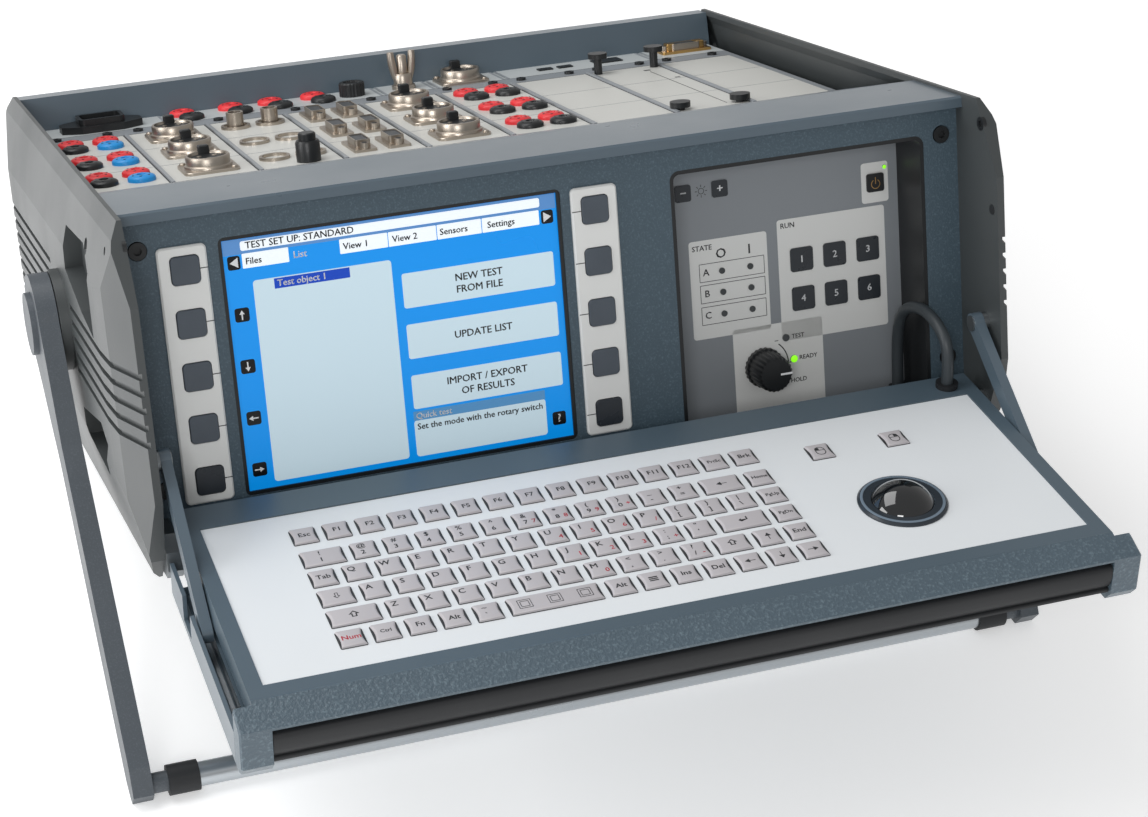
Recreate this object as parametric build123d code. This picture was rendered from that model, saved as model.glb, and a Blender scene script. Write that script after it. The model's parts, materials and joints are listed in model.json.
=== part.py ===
from build123d import *
import os
from math import asin, atan2, cos, degrees, hypot, radians, sin

os.makedirs("parts", exist_ok=True)

# Portable test instrument: a case with a display front, a recessed control panel, a connector bay on
# top, a keyboard tray hinged at the front and a carrying handle that props the front up.
# Case frame: x across, y from the front panel face to the back, z up from the case bottom.

# ---- driving dimensions, mm ----
case_height = 173.0
case_depth = 350.0
cover_inner = 210.3        # inner face of each side cover, from the middle
cover_edge = 215.0         # outer face at the top and bottom edges
cover_bulge = 223.0        # outer face over the hub
cover_wall = 3.0
nose_reach = 42.0          # how far the covers stand ahead of the panel
sheet = 2.0                # sheet metal thickness
panel_wall = 3.0

rail_top = 171.8
rail_back = 47.3
rail_lip = 6.5
rail_lip_height = 5.5
rail_slope_end = 137.0

screen_left = -163.0
screen_right = -0.6
screen_bottom = 29.7
screen_top = 151.5
screen_margin = 1.8        # black surround between the lit area and the panel edge
screen_depth = 4.0

strip_width = 23.2
strip_bottom = 28.7
strip_top = 152.5
strip_proud = 2.0
left_strip_x = -182.2
right_strip_x = 17.5
soft_key_size = 13.4
soft_key_pitch = 25.4
soft_key_count = 5
soft_key_top = 141.2
soft_key_proud = 0.8
soft_key_depth = 2.4
soft_key_shift = 0.9       # key centre from strip centre
soft_key_travel = 0.8
key_gap = 0.3

recess_left = 57.0
recess_right = 192.0
recess_bottom = 15.5
recess_top = 153.5
recess_depth = 28.0
recess_wall = 2.0
recess_radius = 5.0
control_plate = 1.5

bay_floor = 153.0          # top of the module plates
bay_front = rail_slope_end
bay_back = 287.0
bay_half_width = 204.5
module_count = 9
module_plate = 2.0
row_pitch = 50.0
divider_width = 1.8
divider_proud = 1.2
rail_bar_back = 304.0
strip_back = 334.0
rear_rail_lean = 2.6

socket_radius = 7.3
socket_height = 3.4
socket_hole = 2.0
socket_pair_step = 15.5
round_socket_radius = 11.6
round_socket_height = 6.0

lid_slope = 14.7
hinge_y = -24.0
hinge_z = 14.0
hinge_pin_radius = 2.5
pin_clearance = 0.05
lid_half_width = 201.6     # outer face of the side rails
side_plate_inner = 208.0
side_plate_outer = 209.9
side_plate_start = 12.0
side_plate_top = 4.0
lid_rail_top = 16.7
lid_bottom = -12.5
lid_front_foot = -7.5      # lower end of the front face
lid_back = -14.3
plate_top = 16.1
plate_start = 7.45
plate_length = 123.5
plate_half_width = 194.2
plate_thickness = 1.5
lid_front = 154.0
lid_front_bevel = 14.0
lid_bevel_drop = 5.4
bumper_depth = 4.0
lid_wall = 2.5
end_block_start = 142.0
end_block_half_width = 210.0
end_block_inner = 196.0
lid_close_angle = 104.7

key_pitch = 15.43
key_width = 12.2
key_height = 1.3
key_row_start = -156.5
key_columns_right = 71.7
ball_x = 121.4
ball_d = 79.0
ball_radius = 17.5
ball_proud = 9.5
ball_gap = 0.4
ring_radius = 21.2

strut_y = -26.0
strut_z = 61.0
strut_length = 88.4
strut_inner = 202.4
strut_outer = 207.4
strut_width = 8.5
strut_pin_radius = 2.6
strut_start_angle = -134.54   # direction of the stay at rest, degrees from +y towards +z
strut_turn = 135.46           # stay swing while the lid closes

hub_y = 137.0
hub_z = 92.0
hub_radius = 27.0
hub_top = 228.4
arm_inner = 228.6
arm_outer = 238.6
arm_cap_outer = 241.5
arm_width_hub = 58.0
arm_width = 21.0
tube_y = -13.0
tube_z = -101.5
tube_radius = 6.0
collar_radius = 7.5
collar_inner = 205.7
collar_outer = 220.7
spigot_radius = 5.0
handle_pin_radius = 6.0
handle_swing = 305.0

foot_height = 8.0
foot_radius = 10.0
foot_inset_x = 30.0
foot_back_y = 330.0
foot_front_y = 20.0

cable_radius = 3.0

# ---- placing ----
arm_reach_y = foot_back_y + foot_radius - tube_y
arm_drop_z = -foot_height - tube_z
tilt = degrees(atan2(arm_drop_z, arm_reach_y) + asin(collar_radius / hypot(arm_reach_y, arm_drop_z)))
rest_lift = (foot_back_y + foot_radius) * sin(radians(tilt)) + foot_height * cos(radians(tilt))
lid_place = Pos(0, hinge_y, hinge_z) * Rot(lid_slope, 0, 0)
nodes = {}


def block(x0, x1, y0, y1, z0, z1):
    return Pos((x0 + x1) / 2, (y0 + y1) / 2, (z0 + z1) / 2) * Box(x1 - x0, y1 - y0, z1 - z0)


def prism_x(points, x0, x1):
    # outline in (y, z) carried from x0 to x1
    face = make_face(Polyline(*[(x0, y, z) for y, z in points], close=True))
    return extrude(face, x1 - x0, dir=(1, 0, 0))


def prism_y(points, y0, y1):
    # outline in (x, z) carried from y0 to y1
    face = make_face(Polyline(*[(x, y0, z) for x, z in points], close=True))
    return extrude(face, y1 - y0, dir=(0, 1, 0))


def prism_z(points, z0, z1):
    # outline in (x, y) carried from z0 to z1
    face = make_face(Polyline(*[(x, y, z0) for x, y in points], close=True))
    return extrude(face, z1 - z0, dir=(0, 0, 1))


def rod_x(x0, x1, y, z, r):
    return Pos((x0 + x1) / 2, y, z) * Rot(0, 90, 0) * Cylinder(r, x1 - x0)


def rod_y(x, y0, y1, z, r):
    return Pos(x, (y0 + y1) / 2, z) * Rot(90, 0, 0) * Cylinder(r, y1 - y0)


def rod_z(x, y, z0, z1, r):
    return Pos(x, y, (z0 + z1) / 2) * Cylinder(r, z1 - z0)


def slab(x0, x1, y0, y1, z0, z1, r, axis):
    # box whose four edges along one axis are rounded
    body = block(x0, x1, y0, y1, z0, z1)
    return fillet(body.edges().filter_by(axis), r)


def mirrored(part):
    return mirror(part, Plane.YZ)


def add(name, *solids):
    nodes[name] = list(solids)


# ---- side covers ----
def cover_outline(inset=0.0):
    back = case_depth - inset
    top = case_height - inset
    return [(-22 + inset, top), (-nose_reach + inset, 137), (-nose_reach + inset, 45), (-26 + inset,
                                                                                        13 + inset),
            (-11, inset), (back - 10, inset), (back, 12), (back, top - 6), (back - 6, top)]


def cover_section(inset=0.0):
    # bulged outer wall, seen along y
    edge = cover_edge - inset
    bulge = cover_bulge - inset
    return [(cover_inner, 0), (edge - 3, 0), (edge, 4), (bulge, 45), (bulge, 137), (edge + 1.5,
                                                                                    case_height - 8),
            (edge - 2.5, case_height), (cover_inner, case_height)]


def cover_plan(inset=0.0):
    # outer wall seen from above: thin nose, full width from just behind the panel
    bulge = cover_bulge - inset
    edge = cover_edge - inset
    return [(cover_inner, -nose_reach), (edge - 1, -nose_reach), (bulge - 1, -12), (bulge, 10), (bulge, 320),
            (edge + 2, case_depth), (cover_inner, case_depth)]


def cover_blank(inset=0.0):
    side = prism_x(cover_outline(inset), cover_inner, cover_bulge)
    section = prism_y(cover_section(inset), -nose_reach, case_depth)
    plan = prism_z(cover_plan(inset), 0, case_height)
    return side & section & plan


rib_groove = 3.0
rib_depth = 1.8
front_rib_rows = (73.5, 81.5, 89.5, 97.5, 105.5)
rear_rib_rows = (62.0, 69.7, 77.4, 85.1, 92.8, 100.5, 108.2, 115.9)
rib_hub_gap = 4.0
pocket_floor = 214.0       # distance of the finger pockets' floor from the middle
pocket_wall = 2.5
cover_holes = ((-13.0, 158.0, 2.0), (38.0, 150.0, 4.0), (340.0, 150.0, 2.0))   # y, z and radius
hub_core = 20.0            # solid core behind the hub
hub_ring = 26.0
nose_screw_y = -26.0
nose_screw_z = 161.0
nose_screw_radius = 3.4
insert_y = -36.0
insert_z = 120.0
insert_radius = 2.6
flush_gap = 0.25           # how far the nose screws stand clear of the tray
screw_pocket = 1.7


def grown(points, amount):
    # outline pushed outwards from its middle
    mid_y = sum(y for y, z in points) / len(points)
    mid_z = sum(z for y, z in points) / len(points)
    out = []
    for y, z in points:
        away = hypot(y - mid_y, z - mid_z)
        out.append((y + (y - mid_y) / away * amount, z + (z - mid_z) / away * amount))
    return out


upper_pocket = [(100, 148), (46, 150), (25, 140), (28, 108), (62, 113), (106, 125)]
lower_pocket = [(104, 40), (52, 33), (26, 56), (42, 63), (104, 54)]


def side_cover():
    cover = cover_blank()
    cover = cover - (cover_blank(cover_wall) & block(cover_inner, cover_bulge, 8, case_depth, 0, case_height))
    cover = cover + rod_x(cover_inner, cover_bulge - 0.2, hub_y, hub_z, hub_core)
    for outline in (upper_pocket, lower_pocket):
        cover = cover + (prism_x(grown(outline, pocket_wall), cover_inner, cover_bulge) & cover_blank())
        cover = cover - prism_x(outline, pocket_floor, cover_bulge + 1)
    groove_x = cover_bulge - rib_depth
    front_end = hub_y - hub_ring - rib_hub_gap
    rear_start = hub_y + hub_ring + rib_hub_gap
    nose_end = -nose_reach - 1
    front_groove = [(cover_bulge + 1, front_end), (groove_x, front_end), (groove_x, 10), (groove_x - 1, -12),
                    (cover_edge - 1 - rib_depth, nose_end), (cover_bulge + 1, nose_end)]
    grooves = [prism_z(front_groove, z - rib_groove / 2, z + rib_groove / 2) for z in front_rib_rows]
    grooves += [block(groove_x, cover_bulge + 1, rear_start, case_depth - 6, z - rib_groove / 2,
                      z + rib_groove / 2) for z in rear_rib_rows]
    cover = cover - grooves
    for y, z, radius in cover_holes:
        cover = cover - rod_x(cover_inner + 2, cover_bulge + 1, y, z, radius)
    pocket_end = cover_inner + screw_pocket
    cover = cover - rod_x(cover_inner - 1, pocket_end, nose_screw_y, nose_screw_z, nose_screw_radius)
    cover = cover - rod_x(cover_inner - 1, pocket_end, insert_y, insert_z, insert_radius)
    cover = cover + rod_x(cover_bulge - 3.2, hub_top - 0.3, hub_y, hub_z, hub_ring)
    cover = cover - rod_x(cover_inner - 1, hub_top + 1, hub_y, hub_z, handle_pin_radius + pin_clearance)
    return cover


right_cover = side_cover()
add("side_cover_right", right_cover)
add("side_cover_left", mirrored(right_cover))

# ---- chassis ----
bay_wall_top = bay_floor - 5.0
tray_floor = block(-cover_inner, cover_inner, panel_wall, case_depth - 1, 0, sheet)
tray_side = block(cover_inner - sheet, cover_inner, panel_wall, case_depth - 1, sheet, bay_wall_top)
tray_back = block(-cover_inner, cover_inner, case_depth - 1 - sheet, case_depth - 1, sheet, bay_wall_top)
base_tray = tray_floor + tray_side + mirrored(tray_side) + tray_back
hub_hole = rod_x(cover_inner - 2 * sheet, cover_inner + sheet, hub_y, hub_z, handle_pin_radius)
base_tray = base_tray - hub_hole - mirrored(hub_hole)
add("base_tray", base_tray)

panel_top = rail_top - rail_lip_height
front = block(-cover_inner, cover_inner, 0, panel_wall, 0, panel_top)
screen_hole = slab(screen_left - screen_margin, screen_right + screen_margin, -1, panel_wall + 1,
                   screen_bottom - screen_margin, screen_top + screen_margin, 3, Axis.Y)
recess_hole = slab(recess_left, recess_right, -1, panel_wall + 1, recess_bottom, recess_top, recess_radius,
                   Axis.Y)
front = front - screen_hole - recess_hole
screw_x = 201.7
screw_rows = (152.6, 37.5)
screw_radius = 4.2
screw_recess = 1.6
for x in (-screw_x, screw_x):
    for z in screw_rows:
        front = front - rod_y(x, -1, screw_recess, z, screw_radius + 0.4)
        front = front - rod_y(x, -1, panel_wall + 1, z, 2.1)
add("front_panel", front)

top_rail = prism_x([(-rail_lip, panel_top), (-rail_lip, rail_top - 1), (-rail_lip + 1, rail_top),
                    (rail_back, rail_top), (rail_slope_end, bay_floor + 0.8), (rail_slope_end, bay_floor - 4),
                    (rail_slope_end - 3, bay_floor - 4), (rail_slope_end - 3, bay_floor - 1.5),
                    (rail_back - 1, rail_top - 3), (panel_wall, rail_top - 3), (panel_wall, panel_top)],
                   -cover_inner, cover_inner)
add("top_front_rail", top_rail)

rear_rail = prism_x([(strip_back, bay_floor - 5), (strip_back, bay_floor), (strip_back + rear_rail_lean,
                                                                            rail_top),
                     (case_depth - 1, rail_top), (case_depth - 1, bay_wall_top),
                     (case_depth - 1 - sheet, bay_wall_top), (case_depth - 1 - sheet, rail_top - sheet),
                     (strip_back + rear_rail_lean + sheet, rail_top - sheet),
                     (strip_back + sheet, bay_floor - 5)], -cover_inner, cover_inner)
add("rear_rail", rear_rail)

# ---- display and soft keys ----
bezel = slab(screen_left - screen_margin, screen_right + screen_margin, 0.6, 6, screen_bottom - screen_margin,
             screen_top + screen_margin, 3, Axis.Y)
bezel = bezel - block(screen_left, screen_right, 0, 8, screen_bottom, screen_top)
add("display_bezel", bezel)
display = block(screen_left - screen_margin, screen_right + screen_margin, 6, 12,
                screen_bottom - screen_margin,
                screen_top + screen_margin)
display = display + block(screen_left, screen_right, 1.8, 6, screen_bottom, screen_top)
add("display_panel", display)


def soft_strip(x, key_x):
    strip = slab(x - strip_width / 2, x + strip_width / 2, -strip_proud, 0, strip_bottom, strip_top, 2.5,
                 Axis.Y)
    strip = chamfer(strip.faces().sort_by(Axis.Y)[0].edges(), 0.8)
    for i in range(soft_key_count):
        z = soft_key_top - i * soft_key_pitch
        half = soft_key_size / 2 + key_gap
        strip = strip - slab(key_x - half, key_x + half, -strip_proud - 1, 1, z - half, z + half, 2.5, Axis.Y)
    return strip


left_key_x = left_strip_x + soft_key_shift
right_key_x = right_strip_x
add("softkey_strips", soft_strip(left_strip_x, left_key_x), soft_strip(right_strip_x, right_key_x))


def soft_key(x, z):
    half = soft_key_size / 2
    front_y = -strip_proud - soft_key_proud
    key = slab(x - half, x + half, front_y, front_y + soft_key_depth - 0.4, z - half, z + half, 2.2, Axis.Y)
    return chamfer(key.faces().sort_by(Axis.Y)[0].edges(), 0.3)


for side, x in (("left", left_key_x), ("right", right_key_x)):
    for i in range(soft_key_count):
        add("soft_key_%s_%d" % (side, i + 1), soft_key(x, soft_key_top - i * soft_key_pitch))

# ---- control recess ----
tub_outer = slab(recess_left, recess_right, 0.2, recess_depth + recess_wall, recess_bottom, recess_top,
                 recess_radius, Axis.Y)
panel_y = recess_depth
control_left = recess_left + recess_wall
control_right = recess_right - recess_wall
control_bottom = recess_bottom + recess_wall
control_top = recess_top - recess_wall
tub_outer = tub_outer - slab(control_left, control_right, -1, recess_depth + recess_wall + 1,
                             control_bottom, control_top, recess_radius - recess_wall, Axis.Y)
add("control_recess", tub_outer)
control = slab(control_left, control_right, panel_y, panel_y + control_plate, control_bottom, control_top,
               recess_radius - recess_wall, Axis.Y)
power_x = 177.5
power_z = 126.5
power_half_w = 7.2
power_half_h = 9.8
knob_x = 111.6
knob_z = 39.5
knob_shaft = 3.0
control = control - block(power_x - 5, power_x + 5, panel_y - 1, panel_y + 3, power_z - 5, power_z + 5)
control = control - rod_y(knob_x, panel_y - 1, panel_y + 3, knob_z, knob_shaft + pin_clearance)
add("control_panel", control)

power_proud = 1.2
power_key = slab(power_x - 4.7, power_x + 4.7, panel_y - power_proud, panel_y + control_plate - 0.2,
                 power_z - 4.7,
                 power_z + 4.7, 1.2, Axis.Y)
add("power_key", power_key)

sequence_x = (135.4, 153.6, 172.0)
sequence_z = (92.7, 72.3)
sequence_size = 12.4
sequence = [slab(x - sequence_size / 2, x + sequence_size / 2, panel_y - 0.7, panel_y, z - sequence_size / 2,
                 z + sequence_size / 2, 1.6, Axis.Y) for x in sequence_x for z in sequence_z]
bright_half = 4.2
sequence += [slab(x - bright_half, x + bright_half, panel_y - 0.7, panel_y, 135.2 - bright_half,
                  135.2 + bright_half,
                  1.2, Axis.Y) for x in (73.6, 93.2)]
add("sequence_keys", *sequence)

leds = [rod_y(x, panel_y - 0.9, panel_y, z, 1.9) for x, z in ((124.6, 53.0), (128.5, 41.2), (123.0, 29.6))]
leds += [rod_y(x, panel_y - 0.7, panel_y, z, 1.6) for x in (92.0, 107.3) for z in (93.2, 82.2, 70.9)]
leds.append(rod_y(power_x + 5.4, panel_y - 0.7, panel_y, power_z + 7.4, 1.0))
add("panel_leds", *leds)

knob_radius = 10.5
knob_height = 17.0
knob_body = rod_y(knob_x, panel_y - 0.8 - knob_height, panel_y - 0.8, knob_z, knob_radius - 1.0)
knob_body = knob_body + rod_y(knob_x, panel_y - 4.5, panel_y - 0.8, knob_z, knob_radius)
flutes = [Pos(knob_x, 0, knob_z) * Rot(0, 30 * i, 0) * Pos(-knob_x, 0, -knob_z)
          * rod_y(knob_x + knob_radius, panel_y - 20, panel_y - 4.5, knob_z, 1.4) for i in range(12)]
knob_body = knob_body - flutes
knob_body = knob_body + rod_y(knob_x, panel_y - 2, panel_y + 6, knob_z, knob_shaft)
add("rotary_knob", knob_body)

# ---- connector bay ----
divider_x = (-159.5, -113.5, -68.5, -23.7, 22.2, 67.5, 114.7, 158.9)
edges_x = (-bay_half_width,) + divider_x + (bay_half_width,)
rail_solid = block(-cover_inner + sheet, cover_inner - sheet, bay_back, rail_bar_back, bay_floor - 4,
                   bay_floor)
rail_set = [rail_solid]
for x in divider_x:
    rail_set.append(block(x - divider_width / 2, x + divider_width / 2, bay_front, bay_back, bay_floor - 4,
                          bay_floor + divider_proud))
for x0, x1 in ((-cover_inner + sheet, -bay_half_width), (bay_half_width, cover_inner - sheet)):
    rail_set.append(block(x0, x1, bay_front, bay_back, bay_floor - 4, bay_floor))
add("module_rails", *rail_set)


def module_span(index):
    left = edges_x[index] + (divider_width / 2 if index else 0) + 0.3
    right = edges_x[index + 1] - (divider_width / 2 if index < module_count - 1 else 0) - 0.3
    return left, right


plates = []
for i in range(module_count):
    left, right = module_span(i)
    plate = block(left, right, bay_front, bay_back, bay_floor - module_plate, bay_floor)
    for k in (1, 2):
        plate = plate - block(left - 1, right + 1, bay_back - k * row_pitch - 0.3,
                              bay_back - k * row_pitch + 0.3,
                              bay_floor - 0.4, bay_floor + 1)
    plates.append(plate)
add("module_plates", *plates)
rear_strip = block(-cover_inner + sheet, cover_inner - sheet, rail_bar_back, strip_back,
                   bay_floor - module_plate,
                   bay_floor)
for x in (-131.0, -4.5, 27.0, 70.0, 163.0):
    rear_strip = rear_strip - block(x - 1.2, x + 1.2, rail_bar_back - 1, strip_back + 1, bay_floor - 0.4,
                                    bay_floor + 1)
add("rear_strip", rear_strip)


def safety_socket(x, y):
    cap = rod_z(x, y, bay_floor, bay_floor + socket_height, socket_radius)
    cap = fillet(cap.faces().sort_by(Axis.Z)[-1].edges(), 0.8)
    return cap - rod_z(x, y, bay_floor + 0.6, bay_floor + socket_height + 1, socket_hole)


def row_y(row):
    return bay_back - row_pitch * row


red, black, blue = [], [], []
first_red = 14.5
for row in range(3):
    y = row_y(row) - first_red
    left, right = module_span(0)
    for x, front_list in ((left + 12.0, black), (right - 12.2, blue)):
        red.append(safety_socket(x, y))
        front_list.append(safety_socket(x + 0.4, y - socket_pair_step))
    left, right = module_span(5)
    for x in (left + 12.0, right - 12.2):
        red.append(safety_socket(x, y))
        black.append(safety_socket(x + 2.0, y - socket_pair_step + 0.4))
rear_pair_x = (-118.5, -90.0, -66.5, -41.0)
for x in rear_pair_x:
    red.append(safety_socket(x - 1.5, 326.2))
    black.append(safety_socket(x + 1.5, 311.4))
add("sockets_red", *red)
fuse_cap = rod_z(-20.5, 318.0, bay_floor, bay_floor + 8, 7.5)
capped_x = -86.5
capped_y = 148.0
capped = rod_z(capped_x, capped_y, bay_floor, bay_floor + 11, 6.4) + rod_z(capped_x, capped_y, bay_floor + 11,
                                                                       bay_floor + 15, 4.6)
black += [fuse_cap, capped]
add("sockets_black", *black)
add("sockets_blue", *blue)


def round_socket(x, y):
    flange = slab(x - 14.5, x + 14.5, y - 14, y + 14, bay_floor, bay_floor + 1.6, 4, Axis.Z)
    shell = rod_z(x, y, bay_floor + 1.6, bay_floor + 1.6 + round_socket_height, round_socket_radius)
    shell = shell - rod_z(x, y, bay_floor + 2.4, bay_floor + 12, round_socket_radius - 2)
    insert = rod_z(x, y, bay_floor + 2.4, bay_floor + 5, round_socket_radius - 2.4)
    tab = block(x - 3, x + 3, y + round_socket_radius - 2.6, y + round_socket_radius + 1.4,
                bay_floor + 1.6 + round_socket_height, bay_floor + 11)
    return flange + shell + insert + tab


round_sockets = []
for module in (1, 4):
    left, right = module_span(module)
    for row in range(3):
        round_sockets.append(round_socket((left + right) / 2, row_y(row) - 24))
round_sockets.append(round_socket(46.0, 319.0))
add("round_sockets", *round_sockets)


def coax_ring(x, y):
    return rod_z(x, y, bay_floor, bay_floor + 1.6, 8.2) - rod_z(x, y, bay_floor - 1, bay_floor + 3, 6.6)


def coax_post(x, y):
    post = rod_z(x, y, bay_floor, bay_floor + 9, 4.8) - rod_z(x, y, bay_floor + 2, bay_floor + 10, 3.6)
    return post + rod_z(x, y, bay_floor + 1, bay_floor + 7, 1.2)


coax = []
left, right = module_span(2)
for row in range(3):
    for x in (left + 11.5, right - 11.5):
        coax.append(coax_ring(x, row_y(row) - 21))
coax.append(coax_post(left + 11.5, row_y(0) - 21))
coax.append(coax_post(right - 11.5, row_y(0) - 21))
add("coax_sockets", *coax)


d_flange = 1.4
d_height = 5.6
d_recess = 1.2
d_wall = 0.6
d_jack_step = 12.4
d_jack_radius = 2.4


def d_socket(x, y, along):
    dx, dy = (6.2, 15.4) if along == "y" else (15.4, 6.2)
    flange_top = bay_floor + d_flange
    shell_top = bay_floor + d_height
    flange = slab(x - dx, x + dx, y - dy, y + dy, bay_floor, flange_top, 1.2, Axis.Z)
    sx, sy = (4.2, 9.0) if along == "y" else (9.0, 4.2)
    shell = slab(x - sx, x + sx, y - sy, y + sy, flange_top, shell_top, 1.2, Axis.Z)
    shell = shell - block(x - sx + d_wall, x + sx - d_wall, y - sy + d_wall, y + sy - d_wall,
                          shell_top - d_recess, shell_top + 1)
    posts = []
    for s in (-1, 1):
        px, py = (x, y + s * d_jack_step) if along == "y" else (x + s * d_jack_step, y)
        posts.append(rod_z(px, py, flange_top, bay_floor + 4.6, d_jack_radius))
    return flange + shell + posts[0] + posts[1]


d_sockets = []
left, right = module_span(3)
for row in range(3):
    for x in (left + 12.0, right - 12.0):
        d_sockets.append(d_socket(x, row_y(row) - 22, "y"))
d_sockets.append(d_socket(188.0, 319.5, "x"))
add("d_sockets", *d_sockets)

inlet_x = -168.0
inlet = prism_z([(inlet_x - 23, 313), (inlet_x - 12, 307), (inlet_x + 12, 307), (inlet_x + 23, 313),
                 (inlet_x + 23, 324), (inlet_x + 12, 331), (inlet_x - 12, 331), (inlet_x - 23, 324)],
                bay_floor, bay_floor + 4.0)
inlet = inlet + slab(inlet_x - 13, inlet_x + 13, 310, 329, bay_floor + 4, bay_floor + 7.5, 3, Axis.Z)
inlet = inlet - slab(inlet_x - 11, inlet_x + 11, 312, 327, bay_floor + 1, bay_floor + 9, 2, Axis.Z)
for dx in (-3.5, 0, 3.5):
    inlet = inlet + block(inlet_x + dx - 0.6, inlet_x + dx + 0.6, 317, 321, bay_floor + 1, bay_floor + 6)
add("mains_inlet", inlet)

earth_x, earth_y = 11.0, 319.0
post = rod_z(earth_x, earth_y, bay_floor, bay_floor + 20, 2.9)
flange = rod_z(earth_x, earth_y, bay_floor, bay_floor + 2.5, 7)
nut = rod_z(earth_x, earth_y, bay_floor + 2.5, bay_floor + 9, 5.5)
wings = []
for s in (-1, 1):
    wings.append(Pos(earth_x + s * 7.4, earth_y, bay_floor + 14.5) * Rot(0, s * 18, 0) * Box(3.4, 3.6, 16))
earth = post + flange + nut + wings[0] + wings[1]
add("earth_terminal", earth)

ports = [block(x - 4.4, x + 4.4, 315.5, 321.5, bay_floor, bay_floor + 0.8) for x in (98.5, 111.0)]
ports.append(block(129.5, 146.5, 314, 326, bay_floor, bay_floor + 0.8))
add("data_ports", *ports)

thumb_screws = []
thumb_radius = 5.6
thumb_head = 3.0
thumb_stem = 2.4
thumb_inset = 3.5
thumb_loose = 9.5          # the rear pair stands undone, the front pair is screwed down
thumb_tight = 1.5
left, right = module_span(7)
for x in (left + thumb_inset, right - thumb_inset):
    for y, lift in ((bay_back - 6, thumb_loose), (bay_front + 10, thumb_tight)):
        screw = rod_z(x, y, bay_floor, bay_floor + lift, thumb_stem)
        screw = screw + rod_z(x, y, bay_floor + lift, bay_floor + lift + thumb_head, thumb_radius)
        thumb_screws.append(screw)
add("thumb_screws", *thumb_screws)


def socket_head(x, z):
    head = rod_y(x, -0.6, screw_recess, z, screw_radius)
    shank = rod_y(x, screw_recess, 9, z, 2.0)
    return head + shank - rod_y(x, -1, 0.8, z, 1.9)


screws = [socket_head(x, z) for x in (-screw_x, screw_x) for z in screw_rows]
for i in range(module_count):
    left, right = module_span(i)
    for x in (left + 7.5, right - 7.5):
        screws.append(rod_z(x, 295.5, bay_floor, bay_floor + 1.4, 2.8) - rod_z(x, 295.5, bay_floor + 0.6,
                                                                               bay_floor + 2, 1.1))
screw_face = cover_inner - flush_gap + 0.05
screw_socket_end = cover_inner + 0.9
nose_screw = rod_x(screw_face, cover_inner + screw_pocket, nose_screw_y, nose_screw_z, nose_screw_radius)
nose_screw = nose_screw - rod_x(screw_face - 1, screw_socket_end, nose_screw_y, nose_screw_z,
                                nose_screw_radius / 2)
brass = rod_x(screw_face, cover_inner + screw_pocket, insert_y, insert_z, insert_radius)
screws += [nose_screw, mirrored(nose_screw), brass, mirrored(brass)]
add("case_screws", *screws)

# ---- hinge ears, pins, feet, insides ----
ear = prism_x([(0, 4), (0, 24), (-22, 24), (-32, 18), (-32, 9), (-26, 4)], lid_half_width + 1.2, cover_inner)
ear = ear - rod_x(lid_half_width, cover_inner + 1, hinge_y, hinge_z, hinge_pin_radius)
add("hinge_ears", ear, mirrored(ear))
hinge_pin = rod_x(lid_half_width - 9, cover_inner, hinge_y, hinge_z, hinge_pin_radius)
strut_washer = rod_x(strut_outer + 0.1, cover_inner, strut_y, strut_z, 5.0)
strut_head_face = lid_half_width + 0.2
strut_pin = rod_x(strut_head_face, cover_inner, strut_y, strut_z, strut_pin_radius) + strut_washer
strut_pin = strut_pin + rod_x(strut_head_face, strut_inner - pin_clearance, strut_y, strut_z, 4.0)
handle_pin = rod_x(cover_inner - 8, arm_outer - 1, hub_y, hub_z, handle_pin_radius)
handle_pin = handle_pin + rod_x(cover_inner - 8, cover_inner - sheet, hub_y, hub_z, 10)
add("pivot_pins", hinge_pin, mirrored(hinge_pin), strut_pin, mirrored(strut_pin), handle_pin,
    mirrored(handle_pin))

feet = []
for x in (-cover_inner + foot_inset_x, cover_inner - foot_inset_x):
    for y in (foot_front_y, foot_back_y):
        foot = rod_z(x, y, -foot_height, 0, foot_radius)
        feet.append(foot)
add("rubber_feet", *feet)
add("mainboard_and_supply", block(-195, 40, 60, 320, 10, 11.6), block(-160, -100, 120, 180, 11.6, 24),
    block(-60, -10, 90, 150, 11.6, 20), block(-180, -90, 290, 310, 11.6, 30), block(60, 190, 150, 310, 6, 56))

# ---- cable between the recess and the lid ----
gland_x, gland_y = 183.0, 21.0
case_gland = rod_z(gland_x, gland_y, control_bottom, control_bottom + 2.4, 4.8)
case_gland = case_gland - rod_z(gland_x, gland_y, control_bottom - 1, control_bottom + 5, cable_radius)
add("cable_gland", case_gland)
lid_gland_x, lid_gland_d = 187.5, -2.0
lid_gland = lid_place * (rod_z(lid_gland_x, -lid_gland_d, lid_rail_top, lid_rail_top + 2.4, 5.6)
                         - rod_z(lid_gland_x, -lid_gland_d, lid_rail_top - 1, lid_rail_top + 5, cable_radius))
add("lid_gland", lid_gland)
lid_exit = (lid_place * Pos(lid_gland_x, -lid_gland_d, lid_rail_top)).position
above_lid = (lid_place * Pos(lid_gland_x, -lid_gland_d, lid_rail_top + 20)).position
route = [Vector(gland_x, gland_y, control_bottom), Vector(gland_x, gland_y, control_bottom + 26),
         Vector(gland_x + 0.6, gland_y - 7, control_bottom + 45), Vector(gland_x + 2.4, gland_y - 26,
                                                                         control_bottom + 50),
         Vector(gland_x + 4.0, gland_y - 42.0, control_bottom + 44), above_lid, lid_exit]
radii = []
for i in range(1, len(route) - 1):
    run_in = route[i] - route[i - 1]
    run_out = route[i + 1] - route[i]
    turn = radians(run_in.get_angle(run_out))
    radii.append(0.45 * min(run_in.length, run_out.length) / (sin(turn / 2) / cos(turn / 2)))
path = FilletPolyline(*route, radius=radii)
section = Plane(origin=route[0], z_dir=route[1] - route[0]) * Circle(cable_radius)
cable = sweep(section, path=path)
add("keyboard_cable", cable)
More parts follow.
